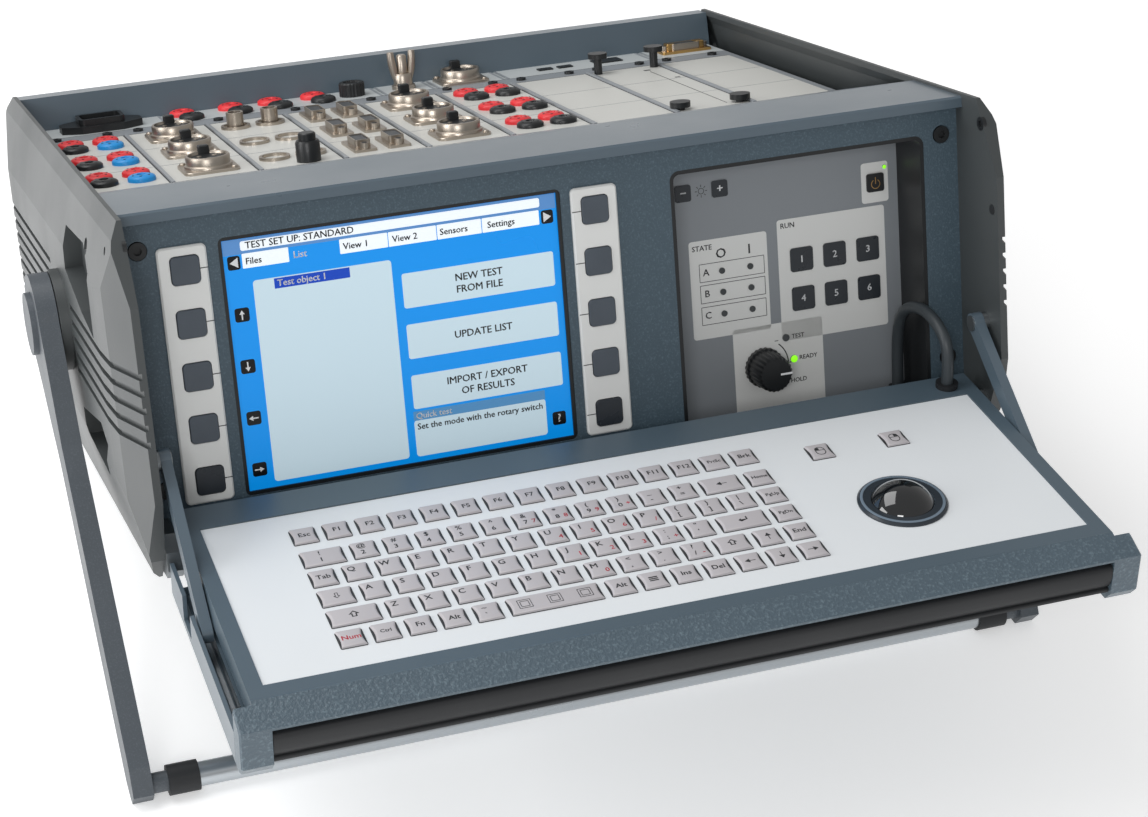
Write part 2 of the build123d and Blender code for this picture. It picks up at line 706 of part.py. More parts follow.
print("cable radii", [round(r, 1) for r in radii], "length", round(path.length, 1))

# ---- keyboard tray; in the tray frame, x across, -y towards the front edge, z up from the hinge axis ----
plate_end = plate_start + plate_length
bevel_back = lid_front - lid_front_bevel
front_edge = lid_rail_top - lid_bevel_drop
lid_profile = [(-lid_back, lid_bottom), (-lid_back, lid_rail_top - 3), (-lid_back - 3, lid_rail_top),
               (-bevel_back, lid_rail_top), (-lid_front, front_edge), (-lid_front, front_edge - 1.2),
               (-lid_front + bumper_depth, front_edge - 1.2), (-lid_front + bumper_depth, lid_front_foot),
               (-lid_front + 9, lid_bottom)]
track_n = 0.8
lid_frame = prism_x(lid_profile, -lid_half_width, lid_half_width)
lid_frame = lid_frame - block(-plate_half_width, plate_half_width, -plate_end, -plate_start,
                              plate_top - plate_thickness, lid_rail_top + 1)
lid_frame = lid_frame - block(-plate_half_width + 8, plate_half_width - 8, -plate_end + 8, -plate_start - 8,
                              lid_bottom + lid_wall, lid_rail_top + 1)
for sign in (-1, 1):
    x0 = sign * (lid_half_width - 2)
    x1 = sign * (lid_half_width + 1)
    lid_frame = lid_frame - block(min(x0, x1), max(x0, x1), -end_block_start, -20, track_n - 3, track_n + 3)
    lid_frame = lid_frame - block(min(sign * end_block_inner, x1), max(sign * end_block_inner, x1),
                                  -lid_front - 1, -end_block_start,
                                  lid_bottom - 1, lid_rail_top + 1)
hinge_bore = rod_x(lid_half_width - 9.5, lid_half_width + 1, 0, 0, hinge_pin_radius + pin_clearance)
lid_frame = lid_frame - hinge_bore - mirrored(hinge_bore)
add("lid_frame", lid_place * lid_frame)

start_drop = lid_bevel_drop * (end_block_start - bevel_back) / lid_front_bevel
end_block = prism_x([(-end_block_start, lid_bottom), (-end_block_start, lid_rail_top - start_drop),
                     (-lid_front, front_edge), (-lid_front, lid_front_foot),
                     (-lid_front + 4, lid_bottom)], end_block_inner, end_block_half_width)
end_block = chamfer(end_block.faces().sort_by(Axis.X)[-1].edges(), 0.8)
add("lid_end_blocks", lid_place * end_block, lid_place * mirrored(end_block))

pin_arc = hypot(strut_y - hinge_y, strut_z - hinge_z)   # stay pivot's distance from the hinge axis
notch_half = 8.0
side_plate = block(side_plate_inner, side_plate_outer, -end_block_start, -side_plate_start, lid_bottom,
                   side_plate_top)
side_plate = side_plate - block(side_plate_inner - 1, side_plate_outer + 1, -pin_arc - notch_half,
                                -pin_arc + notch_half, lid_bottom + 3.5, side_plate_top + 1)
web = block(lid_half_width, side_plate_inner, -end_block_start, -side_plate_start, lid_bottom, lid_bottom + 2)
side_plate = side_plate + web
add("lid_side_plates", lid_place * side_plate, lid_place * mirrored(side_plate))

bumper_ribs = 5
bumper_top = front_edge - 2.0
bumper_half = end_block_inner - 0.2
bumper = block(-bumper_half, bumper_half, -lid_front, -lid_front + bumper_depth, lid_front_foot, bumper_top)
bumper = bumper - block(-bumper_half, bumper_half, -lid_front - 1, -lid_front + 1.6, bumper_top - 3.2,
                        bumper_top + 1)
for i in range(bumper_ribs):
    z = bumper_top - 6.5 - i * 2.3
    bumper = bumper - rod_x(-bumper_half, bumper_half, -lid_front, z, 0.45)
add("bumper_strip", lid_place * bumper)

plate_gap = 0.2
keyboard_plate = block(-plate_half_width + plate_gap, plate_half_width - plate_gap, -plate_end + plate_gap,
                       -plate_start - plate_gap, plate_top - plate_thickness, plate_top)
ball_y = -plate_start - ball_d
keyboard_plate = keyboard_plate - rod_z(ball_x, ball_y, 0, plate_top + 2, ring_radius - 1.5)
add("keyboard_plate", lid_place * keyboard_plate)
ring = rod_z(ball_x, ball_y, plate_top, plate_top + 1.6, ring_radius) + rod_z(ball_x, ball_y,
                                                                              lid_bottom + lid_wall,
                                                                         plate_top, ring_radius - 1.7)
ring = chamfer(ring.faces().sort_by(Axis.Z)[-1].edges(), 0.9)
ball_z = plate_top + ball_proud - ball_radius
ring = ring - Pos(ball_x, ball_y, ball_z) * Sphere(ball_radius + ball_gap)
add("trackball_ring", lid_place * ring)
add("trackball", lid_place * (Pos(ball_x, ball_y, ball_z) * Sphere(ball_radius)))

# each row: distance from the plate's rear edge, first key width, regular keys, keys after the wide one
key_rows = ((14.3, key_width, 13, 1), (33.5, 20.0, 11, 1), (49.4, key_width, 13, 1), (65.2, 16.0, 11, 1),
            (81.1, 23.3, 10, 2), (96.9, key_width, 4, 7))


def key_cap(x0, width, d):
    # raised dome with sloped sides
    cap = block(x0, x0 + width, -plate_start - d - key_width, -plate_start - d, plate_top,
                plate_top + key_height)
    return chamfer(cap.faces().sort_by(Axis.Z)[-1].edges(), 0.8)


caps = []
key_space = key_pitch - key_width
for d, first, regular, trailing in key_rows:
    caps.append(key_cap(key_row_start, first, d))
    x = key_row_start + first + key_space
    for k in range(regular):
        caps.append(key_cap(x + k * key_pitch, key_width, d))
    x += regular * key_pitch
    end = key_columns_right - key_width - (trailing - 1) * key_pitch
    if end - x > key_width:
        caps.append(key_cap(x, end - x - key_space, d))
    for k in range(trailing):
        caps.append(key_cap(end + k * key_pitch, key_width, d))
for x in (96.2, 135.2):
    caps.append(key_cap(x, key_width, 21.2))
add("keyboard_keys", *[lid_place * cap for cap in caps])

# ---- stays ----


def strut(sign):
    reach = strut_length
    bar = block(strut_inner, strut_outer, 0, reach, -strut_width / 2, strut_width / 2)
    bar = bar + rod_x(strut_inner, strut_outer, 0, 0, strut_width / 2 + 0.8) + rod_x(strut_inner,
                                                                                     strut_outer, reach, 0,
                                                                             strut_width / 2)
    bar = bar - rod_x(strut_inner - 1, strut_outer + 1, 0, 0, strut_pin_radius + pin_clearance)
    bar = Pos(0, strut_y, strut_z) * Rot(strut_start_angle, 0, 0) * bar
    return bar if sign > 0 else mirrored(bar)


add("strut_right", strut(1))
add("strut_left", strut(-1))

# ---- handle ----
arm_angle = degrees(atan2(tube_z - hub_z, tube_y - hub_y))
arm_length = hypot(tube_z - hub_z, tube_y - hub_y)


arm_end_beyond = 7.0


def handle_arm():
    # along +y from the hub, then turned down to the tube
    half_hub = hub_radius - 2
    half = arm_width / 2
    arm_end = arm_length + arm_end_beyond
    lower = [(0, -half_hub), (26, -half_hub + 6), (72, -half), (arm_length - 6, -half), (arm_end, -half + 5)]
    upper = [(y, -z) for y, z in reversed(lower)]
    bar = prism_x(lower + upper, arm_inner, arm_outer)
    bar = bar + rod_x(arm_inner, arm_outer, 0, 0, half_hub)
    bar = bar + rod_x(arm_outer, arm_cap_outer, 0, 0, half_hub - 9)
    bar = bar + rod_x(collar_outer - 3, arm_inner + 1, arm_length, 0, spigot_radius)
    bar = bar - rod_x(arm_inner - 1, arm_outer - 0.8, 0, 0, handle_pin_radius + pin_clearance)
    return Pos(0, hub_y, hub_z) * Rot(arm_angle, 0, 0) * bar


right_arm = handle_arm()
add("handle_arm_right", right_arm)
add("handle_arm_left", mirrored(right_arm))
tube_end = collar_outer - 3
handle_tube = rod_x(-tube_end, tube_end, tube_y, tube_z, tube_radius) - rod_x(-tube_end - 1, tube_end + 1,
                                                                              tube_y,
                                                                            tube_z, tube_radius - 1.5)
add("handle_tube", handle_tube)
collar = rod_x(collar_inner, collar_outer, tube_y, tube_z, collar_radius)
collar = collar - rod_x(collar_inner - 1, tube_end, tube_y, tube_z, tube_radius)
collar = collar - rod_x(tube_end - 1, collar_outer + 1, tube_y, tube_z, spigot_radius)
add("handle_collars", collar, mirrored(collar))

# ---- stand the whole instrument on its rear feet and its handle, and write it ----
turned = Rot(-tilt, 0, 0)
low_y, high_y = 1e9, -1e9
for solids in nodes.values():
    for solid in solids:
        box = (turned * solid).bounding_box()
        low_y = min(low_y, box.min.Y)
        high_y = max(high_y, box.max.Y)
stand = Pos(0, -(low_y + high_y) / 2, rest_lift) * turned
for name, solids in nodes.items():
    placed = []
    for solid in solids:
        placed += list((stand * solid).solids())
    export_step(Compound(children=placed), "parts/%s.step" % name)
print("nodes", len(nodes), "tilt", round(tilt, 2), "shift y", round(-(low_y + high_y) / 2, 2), "lift",
      round(rest_lift, 2))
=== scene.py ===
import json
import math
import bpy
import numpy as np
from mathutils import Matrix, Vector


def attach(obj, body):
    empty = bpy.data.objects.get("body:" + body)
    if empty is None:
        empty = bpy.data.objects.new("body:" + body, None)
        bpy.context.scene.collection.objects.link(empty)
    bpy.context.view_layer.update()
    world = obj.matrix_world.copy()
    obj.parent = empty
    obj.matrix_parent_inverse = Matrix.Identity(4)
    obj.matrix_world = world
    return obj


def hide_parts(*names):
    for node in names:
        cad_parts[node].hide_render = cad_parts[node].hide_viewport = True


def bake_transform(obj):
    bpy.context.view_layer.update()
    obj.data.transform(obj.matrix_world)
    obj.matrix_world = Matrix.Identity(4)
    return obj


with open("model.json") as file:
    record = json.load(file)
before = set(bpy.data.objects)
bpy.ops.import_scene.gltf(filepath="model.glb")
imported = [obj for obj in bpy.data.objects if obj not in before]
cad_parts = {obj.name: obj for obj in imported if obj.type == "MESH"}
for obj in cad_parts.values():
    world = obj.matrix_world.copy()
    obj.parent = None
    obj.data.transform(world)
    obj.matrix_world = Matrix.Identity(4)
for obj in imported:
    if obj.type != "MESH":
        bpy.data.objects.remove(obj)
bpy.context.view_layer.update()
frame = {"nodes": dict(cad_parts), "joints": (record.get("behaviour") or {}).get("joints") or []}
nodes = frame["nodes"]
print("frame loaded:", len(nodes), "nodes")

mm = 0.001
joints = {joint["name"]: joint for joint in frame["joints"]}

# The case stands tilted on its handle. Its own axes come from the knob's shaft, which is square to the panel,
# and its origin from the tray hinge, whose place in the case is known.
caseFacts = {"hingeY": -24.0, "hingeZ": 14.0, "slope": math.radians(14.7)}
panelOut = Vector(joints["mode_knob_turn"]["axis"]).normalized()
caseRight = Vector((1, 0, 0))
caseBack = -panelOut
caseUp = caseRight.cross(caseBack)
hingePlace = Vector(joints["lid_hinge"]["pos_m"])
caseOrigin = hingePlace - caseBack * caseFacts["hingeY"] * mm - caseUp * caseFacts["hingeZ"] * mm
caseAxes = np.array([caseRight, caseBack, caseUp])


def inCase(points):
    # rows of x, y, z in case millimetres, as metres in the frame
    return np.asarray(points, float) @ caseAxes * mm + np.array(caseOrigin)


def onPanel(depth):
    # a across, b up the panel, h out of it, on the plane that lies depth behind the panel face
    return lambda p: inCase(np.stack([p[:, 0], depth - p[:, 2], p[:, 1]], 1))


def onBay(height):
    # a across, b towards the back, h upwards
    return lambda p: inCase(np.stack([p[:, 0], p[:, 1], height + p[:, 2]], 1))


def onTray(height):
    # a across, b towards the hinge, h out of the tray; b is minus the distance from the hinge axis
    cosine, sine = math.cos(caseFacts["slope"]), math.sin(caseFacts["slope"])

    def place(p):
        n = height + p[:, 2]
        y = caseFacts["hingeY"] + p[:, 1] * cosine - n * sine
        z = caseFacts["hingeZ"] + p[:, 1] * sine + n * cosine
        return inCase(np.stack([p[:, 0], y, z], 1))
    return place


# surfaces

def gridFaces(rows, columns, closed=True):
    # quads between neighbours of a grid numbered row by row; a closed one joins its last column to its first
    r, c = np.meshgrid(np.arange(rows - 1), np.arange(columns if closed else columns - 1), indexing="ij")
    nextColumn = (c + 1) % columns
    corners = [r * columns + c, r * columns + nextColumn, (r + 1) * columns + nextColumn,
               (r + 1) * columns + c]
    return np.stack(corners, -1).reshape(-1, 4)


def stacked(loops, count):
    # loops is copies x rows x columns x 3; each copy is a tube of its rows, closed by a cap at both ends
    copies, rows, columns = loops.shape[:3]
    quads = gridFaces(rows, columns)
    ring = np.arange(columns)
    starts = np.arange(copies) * rows * columns
    sides = (quads[None] + starts[:, None, None]).reshape(-1, 4)
    bottoms = ring[::-1][None] + starts[:, None]
    tops = ring[None] + starts[:, None] + (rows - 1) * columns
    return loops.reshape(-1, 3), sides.tolist() + bottoms.tolist() + tops.tolist()


def tiles(rects, corner, height, bevel=0.0, base=0.0, steps=5):
    # rounded rectangles with a straight wall and a bevelled top:
    # corner centre + (corner radius - inset) x (cos, sin) round four quarter turns
    rects = np.asarray(rects, float)
    turn = (np.linspace(0, 90, steps)[None] + 90 * np.arange(4)[:, None]).ravel() * math.pi / 180
    signs = np.repeat(np.array([[1, 1], [-1, 1], [-1, -1], [1, -1]], float), steps, 0)
    rows = [(0.0, base), (0.0, height - bevel)] + ([(bevel, height)] if bevel else [])
    loops = []
    for inset, level in rows:
        radius = max(corner - inset, 0.02)
        centre = rects[:, None, :2] + signs[None] * (rects[:, None, 2:] - corner)
        rim = centre + radius * np.stack([np.cos(turn), np.sin(turn)], -1)[None]
        loops.append(np.concatenate([rim, np.full(rim.shape[:2] + (1,), level)], -1))
    return stacked(np.stack(loops, 1), len(rects))


def turned(profile, centres, sides=28, phase=0.0, flutes=0, fluteDepth=0.0):
    # a profile of radius and height turned about h at each centre
    # optional flutes: r - depth x (1 + cos(n a)) / 2
    profile = np.asarray(profile, float)
    centres = np.asarray(centres, float)
    angle = np.arange(sides) / sides * 2 * math.pi + phase
    radius = (profile[:, 0][:, None]
              - fluteDepth * (1 + np.cos(flutes * angle))[None] / 2 * (profile[:, 0] > 2)[:, None])
    shape = np.stack([radius * np.cos(angle), radius * np.sin(angle),
                      np.broadcast_to(profile[:, 1][:, None], radius.shape)], -1)
    moved = np.broadcast_to(shape[None], (len(centres),) + shape.shape).copy()
    moved[..., 0] += centres[:, 0][:, None, None]
    moved[..., 1] += centres[:, 1][:, None, None]
    return stacked(moved, len(centres))


def tube(path, radius, sides=16):
    # circles square to a path's direction, joined into a tube
    path = np.asarray(path, float)
    along = np.gradient(path, axis=0)
    along /= np.linalg.norm(along, axis=1)[:, None]
    side = np.cross(along, [1.0, 0.02, 0.03])
    side /= np.linalg.norm(side, axis=1)[:, None]
    up = np.cross(along, side)
    angle = np.arange(sides) / sides * 2 * math.pi
    ring = side[:, None] * np.cos(angle)[None, :, None] + up[:, None] * np.sin(angle)[None, :, None]
    radius = np.broadcast_to(np.asarray(radius, float), (len(path),))
    return stacked((path[:, None] + ring * radius[:, None, None])[None], 1)


def arrowMesh(a, b, turn, length, head, shaft, height, base=0.0):
    # flat arrow pointing along turn degrees: a bar and a triangle
    angle = math.radians(turn)
    across = np.array([(-length / 2, -shaft), (length / 2 - head, -shaft), (length / 2 - head, -head * 0.62),
                       (length / 2, 0.0), (length / 2 - head, head * 0.62), (length / 2 - head, shaft),
                       (-length / 2, shaft)])
    turnedPoints = np.stack([a + across[:, 0] * math.cos(angle) - across[:, 1] * math.sin(angle),
                             b + across[:, 0] * math.sin(angle) + across[:, 1] * math.cos(angle)], 1)
    levels = [np.concatenate([turnedPoints, np.full((7, 1), h)], 1) for h in (base, height)]
    return stacked(np.stack(levels)[None], 1)


def joined(*meshes):
    verts, faces, start = [], [], 0
    for points, quads in meshes:
        verts.append(points)
        faces += [[i + start for i in face] for face in quads]
        start += len(points)
    return np.concatenate(verts), faces


def addPiece(name, mesh, place, body, material, replaced=(), sharp=32):
    # body None leaves a piece free, attached to no body, for one that runs between two bodies
    points, faces = mesh
    data = bpy.data.meshes.new(name)
    data.from_pydata(place(points).tolist() if place else points.tolist(), [], faces)
    data.polygons.foreach_set("use_smooth", np.ones(len(data.polygons), bool))
    data.set_sharp_from_angle(angle=math.radians(sharp))
    data.materials.append(material)
    data.validate()
    piece = bpy.data.objects.new(name, data)
    bpy.context.collection.objects.link(piece)
    if body:
        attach(piece, body)
    if replaced:
        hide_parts(*replaced)
    return piece


def lettering(words, thickness=0.05, bold=0.018):
    # each entry: text, a, b, size, alignment; outlines of the built-in sans face, as thin raised print.
    # struck twice, apart by that share of the size, for a bolder face
    meshes = []
    for text, a, b, size, align in words:
        curve = bpy.data.curves.new("print", "FONT")
        curve.body = text
        curve.size = size
        curve.align_x = align
        curve.align_y = "CENTER"
        curve.resolution_u = 2
        curve.extrude = thickness / 2
        holder = bpy.data.objects.new("print", curve)
        bpy.context.collection.objects.link(holder)
        bpy.context.view_layer.update()
        shape = bpy.data.meshes.new_from_object(holder.evaluated_get(bpy.context.evaluated_depsgraph_get()))
        points = np.empty(len(shape.vertices) * 3)
        shape.vertices.foreach_get("co", points)
        points = points.reshape(-1, 3) + np.array([a, b, thickness / 2])
        faces = [list(p.vertices) for p in shape.polygons]
        for shift in (-bold * size, bold * size):
            meshes.append((points + np.array([shift, shift * 0.6, 0.0]), faces))
        bpy.data.objects.remove(holder)
        bpy.data.meshes.remove(shape)
        bpy.data.curves.remove(curve)
    return joined(*meshes)


# materials

def linear(hexColour):
    # sRGB hex to linear light
    value = np.array([int(hexColour[i:i + 2], 16) / 255 for i in (1, 3, 5)])
    low = value / 12.92
    high = ((value + 0.055) / 1.055) ** 2.4
    return (*np.where(value <= 0.04045, low, high), 1.0)


def addNode(tree, kind, inputs=None, **settings):
    node = tree.nodes.new(kind)
    for name, value in settings.items():
        setattr(node, name, value)
    for name, value in (inputs or {}).items():
        socket = node.inputs[name]
        if isinstance(value, bpy.types.NodeSocket):
            tree.links.new(value, socket)
        else:
            socket.default_value = value
    return node


def startMaterial(name):
    material = bpy.data.materials.new(name)
    material.use_nodes = True
    tree = material.node_tree
    shader = tree.nodes["Principled BSDF"]
    where = addNode(tree, "ShaderNodeTexCoord").outputs["Object"]
    return material, tree, shader, where


def surface(name, look, region=None):
    # Common build: a slow colour drift, a roughness drift and a grain in the bump, with an optional painted
    # highlight that lightens the colour on the grain's high tops.
    # grain and drift are real sizes in millimetres, lift is the grain's height in millimetres.
    material, tree, shader, where = startMaterial(name)
    drift = addNode(tree, "ShaderNodeTexNoise", {"Vector": where, "Scale": 1000 / look.get("drift", 60),
                                                 "Detail": 3.0})
    grain = addNode(tree, "ShaderNodeTexNoise", {"Vector": where, "Scale": 1000 / look.get("grain", 0.8),
                                                 "Detail": 2.0, "Roughness": 0.6})
    dark = tuple(c * (1 - look.get("spread", 0.08)) for c in linear(look["colour"])[:3]) + (1.0,)
    light = tuple(min(c * (1 + look.get("spread", 0.08)), 1.0) for c in linear(look["colour"])[:3]) + (1.0,)
    tint = addNode(tree, "ShaderNodeMixRGB", {"Fac": drift.outputs["Fac"], "Color1": dark, "Color2": light})
    colour = tint.outputs[0]
    # painted highlight: where the grain is high, on the tops of the bump, the colour mixes towards the lighter
    # highlight colour
    if look.get("grainTopGlint"):
        grainTopGlintRamp = addNode(tree, "ShaderNodeMapRange", {"Value": grain.outputs["Fac"], "From Min": 0.52,
                                                         "From Max": 0.72})
        grainTopGlint = addNode(tree, "ShaderNodeMixRGB", {"Fac": grainTopGlintRamp.outputs[0], "Color1": colour,
                                                   "Color2": linear(look["grainTopGlint"])})
        colour = grainTopGlint.outputs[0]
    tree.links.new(colour, shader.inputs["Base Color"])
    rough = addNode(tree, "ShaderNodeMapRange", {"Value": drift.outputs["Fac"], "From Min": 0.3,
                                                 "From Max": 0.7, "To Min": look["rough"] - 0.05,
                                                 "To Max": look["rough"] + 0.05})
    tree.links.new(rough.outputs[0], shader.inputs["Roughness"])
    height = grain.outputs["Fac"]
    if region:
        # along = (point - start) . direction, faded in over a millimetre
        start, direction = region
        apart = addNode(tree, "ShaderNodeVectorMath", {0: where, 1: tuple(start)}, operation="SUBTRACT")
        along = addNode(tree, "ShaderNodeVectorMath", {0: apart.outputs[0], 1: tuple(direction)},
                        operation="DOT_PRODUCT")
        mask = addNode(tree, "ShaderNodeMapRange", {"Value": along.outputs["Value"], "From Min": 0.0,
                                                    "From Max": 0.8 * mm})
        masked = addNode(tree, "ShaderNodeMath", {0: height, 1: mask.outputs[0]}, operation="MULTIPLY")
        height = masked.outputs[0]
        # the painted highlight is kept to the same region as the wrinkle
        if look.get("grainTopGlint"):
            tree.links.new(addNode(tree, "ShaderNodeMath", {0: grainTopGlintRamp.outputs[0], 1: mask.outputs[0]},
                                   operation="MULTIPLY").outputs[0], grainTopGlint.inputs["Fac"])
    if look.get("lift"):
        bump = addNode(tree, "ShaderNodeBump", {"Height": height, "Strength": 1.0,
                                                "Distance": look["lift"] * mm})
        tree.links.new(bump.outputs["Normal"], shader.inputs["Normal"])
    shader.inputs["Metallic"].default_value = look.get("metal", 0.0)
    shader.inputs["IOR"].default_value = look.get("ior", 1.5)
    if look.get("coat"):
        shader.inputs["Coat Weight"].default_value = look["coat"]
        shader.inputs["Coat Roughness"].default_value = look.get("coatRough", 0.1)
    if look.get("glow"):
        shader.inputs["Emission Color"].default_value = linear(look["colour"])
        shader.inputs["Emission Strength"].default_value = look["glow"]
    return material


materials = {}
looks = {
    # powder coat on aluminium, baked with a fine wrinkle: blue-grey, satin, with painted highlights as lighter
    # colour on the wrinkle tops
    "wrinklePowderCoat": {"colour": "#43545f", "rough": 0.45, "grain": 1.0, "lift": 0.22, "grainTopGlint": "#566975",
                          "spread": 0.06},
    # powder coat on the long extrusions, smoother than on the castings
    "smoothPowderCoat": {"colour": "#51606b", "rough": 0.32, "grain": 0.7, "lift": 0.03, "spread": 0.04,
                         "coat": 0.6, "coatRough": 0.3},
    # dark grey powder coat on the handle arms, with painted highlights as lighter colour on its grain tops
    "handlePowderCoat": {"colour": "#4e545a", "rough": 0.42, "grain": 0.8, "lift": 0.06, "grainTopGlint": "#5a6066"},
    # glass-filled ABS side covers, moulded with a fine spark-eroded grain
    "mouldedAbs": {"colour": "#3f4344", "rough": 0.44, "grain": 0.6, "lift": 0.05, "spread": 0.06,
                   "coat": 0.2, "coatRough": 0.4},
    "darkAbs": {"colour": "#33373b", "rough": 0.42, "grain": 0.6, "lift": 0.04},
    # black moulded polyamide of sockets, knobs and frames
    "blackPolyamide": {"colour": "#1b1d1f", "rough": 0.38, "grain": 0.5, "lift": 0.02},
    "redPolyamide": {"colour": "#e03238", "rough": 0.4, "grain": 0.5, "lift": 0.02, "spread": 0.05},
    "bluePolyamide": {"colour": "#1f93dc", "rough": 0.4, "grain": 0.5, "lift": 0.02, "spread": 0.05},
    # printed polyester foil, matt, over the control panel and the strips
    "greyFoil": {"colour": "#8a8f94", "rough": 0.42, "grain": 0.4, "lift": 0.008, "spread": 0.04},
    "paleFoil": {"colour": "#e1e2e0", "rough": 0.45, "grain": 0.4, "lift": 0.008, "spread": 0.02},
    "whiteFoil": {"colour": "#e2e6e9", "rough": 0.38, "grain": 0.4, "lift": 0.006, "spread": 0.015},
    "keyFoil": {"colour": "#bab6b9", "rough": 0.42, "grain": 0.4, "lift": 0.01, "spread": 0.03},
    # silicone soft keys, semi-matt with a soft sheen
    "siliconeKey": {"colour": "#4a525b", "rough": 0.36, "grain": 0.5, "lift": 0.02, "spread": 0.14,
                    "drift": 12},
    "darkKey": {"colour": "#2b3036", "rough": 0.3, "grain": 0.5, "lift": 0.015, "spread": 0.1, "drift": 10},
    # cream enamel on the module plates, and plain enamel on the rear strip
    "creamEnamel": {"colour": "#d0d0cb", "rough": 0.4, "grain": 0.5, "lift": 0.012, "spread": 0.03},
    "greyEnamel": {"colour": "#bcc1c2", "rough": 0.4, "grain": 0.5, "lift": 0.012, "spread": 0.03},
    # satin anodised aluminium: fine drawn grain, clear coat of oxide
    "railEnamel": {"colour": "#90959a", "rough": 0.35, "grain": 0.5, "lift": 0.01, "spread": 0.04},
    "anodisedAluminium": {"colour": "#b9bec2", "rough": 0.3, "metal": 1.0, "grain": 0.5, "lift": 0.01,
                          "spread": 0.05},
    "nickelPlate": {"colour": "#b7ada1", "rough": 0.36, "metal": 1.0, "grain": 0.8, "lift": 0.008,
                    "spread": 0.06},
    "goldFlash": {"colour": "#c9a266", "rough": 0.28, "metal": 1.0, "grain": 0.8, "lift": 0.006},
    "zincSteel": {"colour": "#8b9093", "rough": 0.38, "metal": 1.0, "grain": 2.0, "lift": 0.01,
                  "spread": 0.1},
    # natural rubber: ribs, feet, grommets
    "blackRubber": {"colour": "#17191c", "rough": 0.55, "grain": 0.5, "lift": 0.02},
    "cableSheath": {"colour": "#33393d", "rough": 0.42, "grain": 0.5, "lift": 0.012},
    "boardGreen": {"colour": "#1c5a34", "rough": 0.4, "grain": 1.5, "lift": 0.02},
    # printing ink; the dark ink also stands in for painted shade in the socket slots and jack holes, along the
    # bay dividers and round the keys
    "darkInk": {"colour": "#2a2c2e", "rough": 0.5, "grain": 0.5, "spread": 0.04},
    "redInk": {"colour": "#c23b4a", "rough": 0.5, "grain": 0.5, "spread": 0.04},
    "whiteInk": {"colour": "#e8eaec", "rough": 0.5, "grain": 0.5, "spread": 0.02},
    # back-lit liquid crystal panel: the picture glows a little by itself
    "screenBlue": {"colour": "#0083d6", "rough": 0.3, "glow": 0.5, "spread": 0.03, "drift": 90},
    "screenHeader": {"colour": "#4f7eb4", "rough": 0.25, "glow": 0.5, "spread": 0.05, "drift": 90},
    "screenPale": {"colour": "#b9cdd7", "rough": 0.3, "glow": 0.42, "spread": 0.02, "drift": 90},
    "screenWhite": {"colour": "#e2e9ee", "rough": 0.3, "glow": 0.45, "spread": 0.01, "drift": 90},
    "screenNavy": {"colour": "#0a3fae", "rough": 0.25, "glow": 0.4, "spread": 0.03},
    "screenBlack": {"colour": "#060708", "rough": 0.2, "spread": 0.02},
    "screenSlate": {"colour": "#4c85b4", "rough": 0.25, "glow": 0.4, "spread": 0.03},
    "greenLens": {"colour": "#7ad61e", "rough": 0.2, "glow": 1.2},
    "darkLens": {"colour": "#33383b", "rough": 0.2, "coat": 0.6},
    # polished phenolic ball
    "polishedBall": {"colour": "#101214", "rough": 0.06, "grain": 3.0, "coat": 1.0, "coatRough": 0.03},
    "ringPlastic": {"colour": "#2c333a", "rough": 0.25, "grain": 0.5, "lift": 0.01},
    "ringBand": {"colour": "#6d7c8a", "rough": 0.25, "grain": 0.5, "lift": 0.01},
}
for name, look in looks.items():
    materials[name] = surface(name, look)
# the tray has the smooth coat on its flats and a coarse leather-like wrinkle from its front bevel on, with
# painted highlights as lighter colour on the wrinkle tops
bevelStart, bevelEnd = (Vector(p) for p in onTray(16.7)(np.array([(0.0, -139.6, 0.0), (0.0, -141.6, 0.0)])))
bevelLook = {"colour": "#4b5b66", "rough": 0.38, "grain": 1.5, "lift": 0.5, "grainTopGlint": "#64757f",
             "spread": 0.05, "coat": 0.3, "coatRough": 0.35}
materials["bevelPowderCoat"] = surface("bevelPowderCoat", bevelLook,
                                       (bevelStart, (bevelEnd - bevelStart).normalized()))
print("materials made:", len(materials))

nodeLooks = {
    "wrinklePowderCoat": ["front_panel"],
    "bevelPowderCoat": ["lid_frame", "lid_end_blocks"],
    "smoothPowderCoat": ["top_front_rail", "rear_rail", "lid_side_plates", "strut_left", "strut_right"],
    "handlePowderCoat": ["handle_arm_left", "handle_arm_right"],
    "mouldedAbs": ["side_cover_left", "side_cover_right"],
    "blackPolyamide": ["display_bezel", "control_recess", "power_key", "mains_inlet", "sockets_black",
                       "rotary_knob", "case_screws", "data_ports", "thumb_screws"],
    "redPolyamide": ["sockets_red"],
    "bluePolyamide": ["sockets_blue"],
    "screenBlue": ["display_panel"],
    "paleFoil": ["softkey_strips"],
    "greyFoil": ["control_panel"],
    "darkKey": ["sequence_keys"],
    "darkLens": ["panel_leds"],
    "railEnamel": ["module_rails"],
    "anodisedAluminium": ["handle_tube"],
    "creamEnamel": ["module_plates"],
    "greyEnamel": ["rear_strip"],
    "nickelPlate": ["round_sockets", "coax_sockets", "d_sockets", "earth_terminal"],
    "zincSteel": ["base_tray", "hinge_ears", "pivot_pins"],
    "blackRubber": ["rubber_feet", "handle_collars", "cable_gland", "lid_gland", "bumper_strip"],
    "cableSheath": ["keyboard_cable"],
    "boardGreen": ["mainboard_and_supply"],
    "whiteFoil": ["keyboard_plate"],
    "keyFoil": ["keyboard_keys"],
    "polishedBall": ["trackball"],
    "ringPlastic": ["trackball_ring"],
}
for look, names in nodeLooks.items():
    for name in names:
        nodes[name].data.materials.clear()
        nodes[name].data.materials.append(materials[look])
for name, node in nodes.items():
    if name.startswith("soft_key"):
        node.data.materials.clear()
        node.data.materials.append(materials["darkKey" if name.endswith("5") else "siliconeKey"])

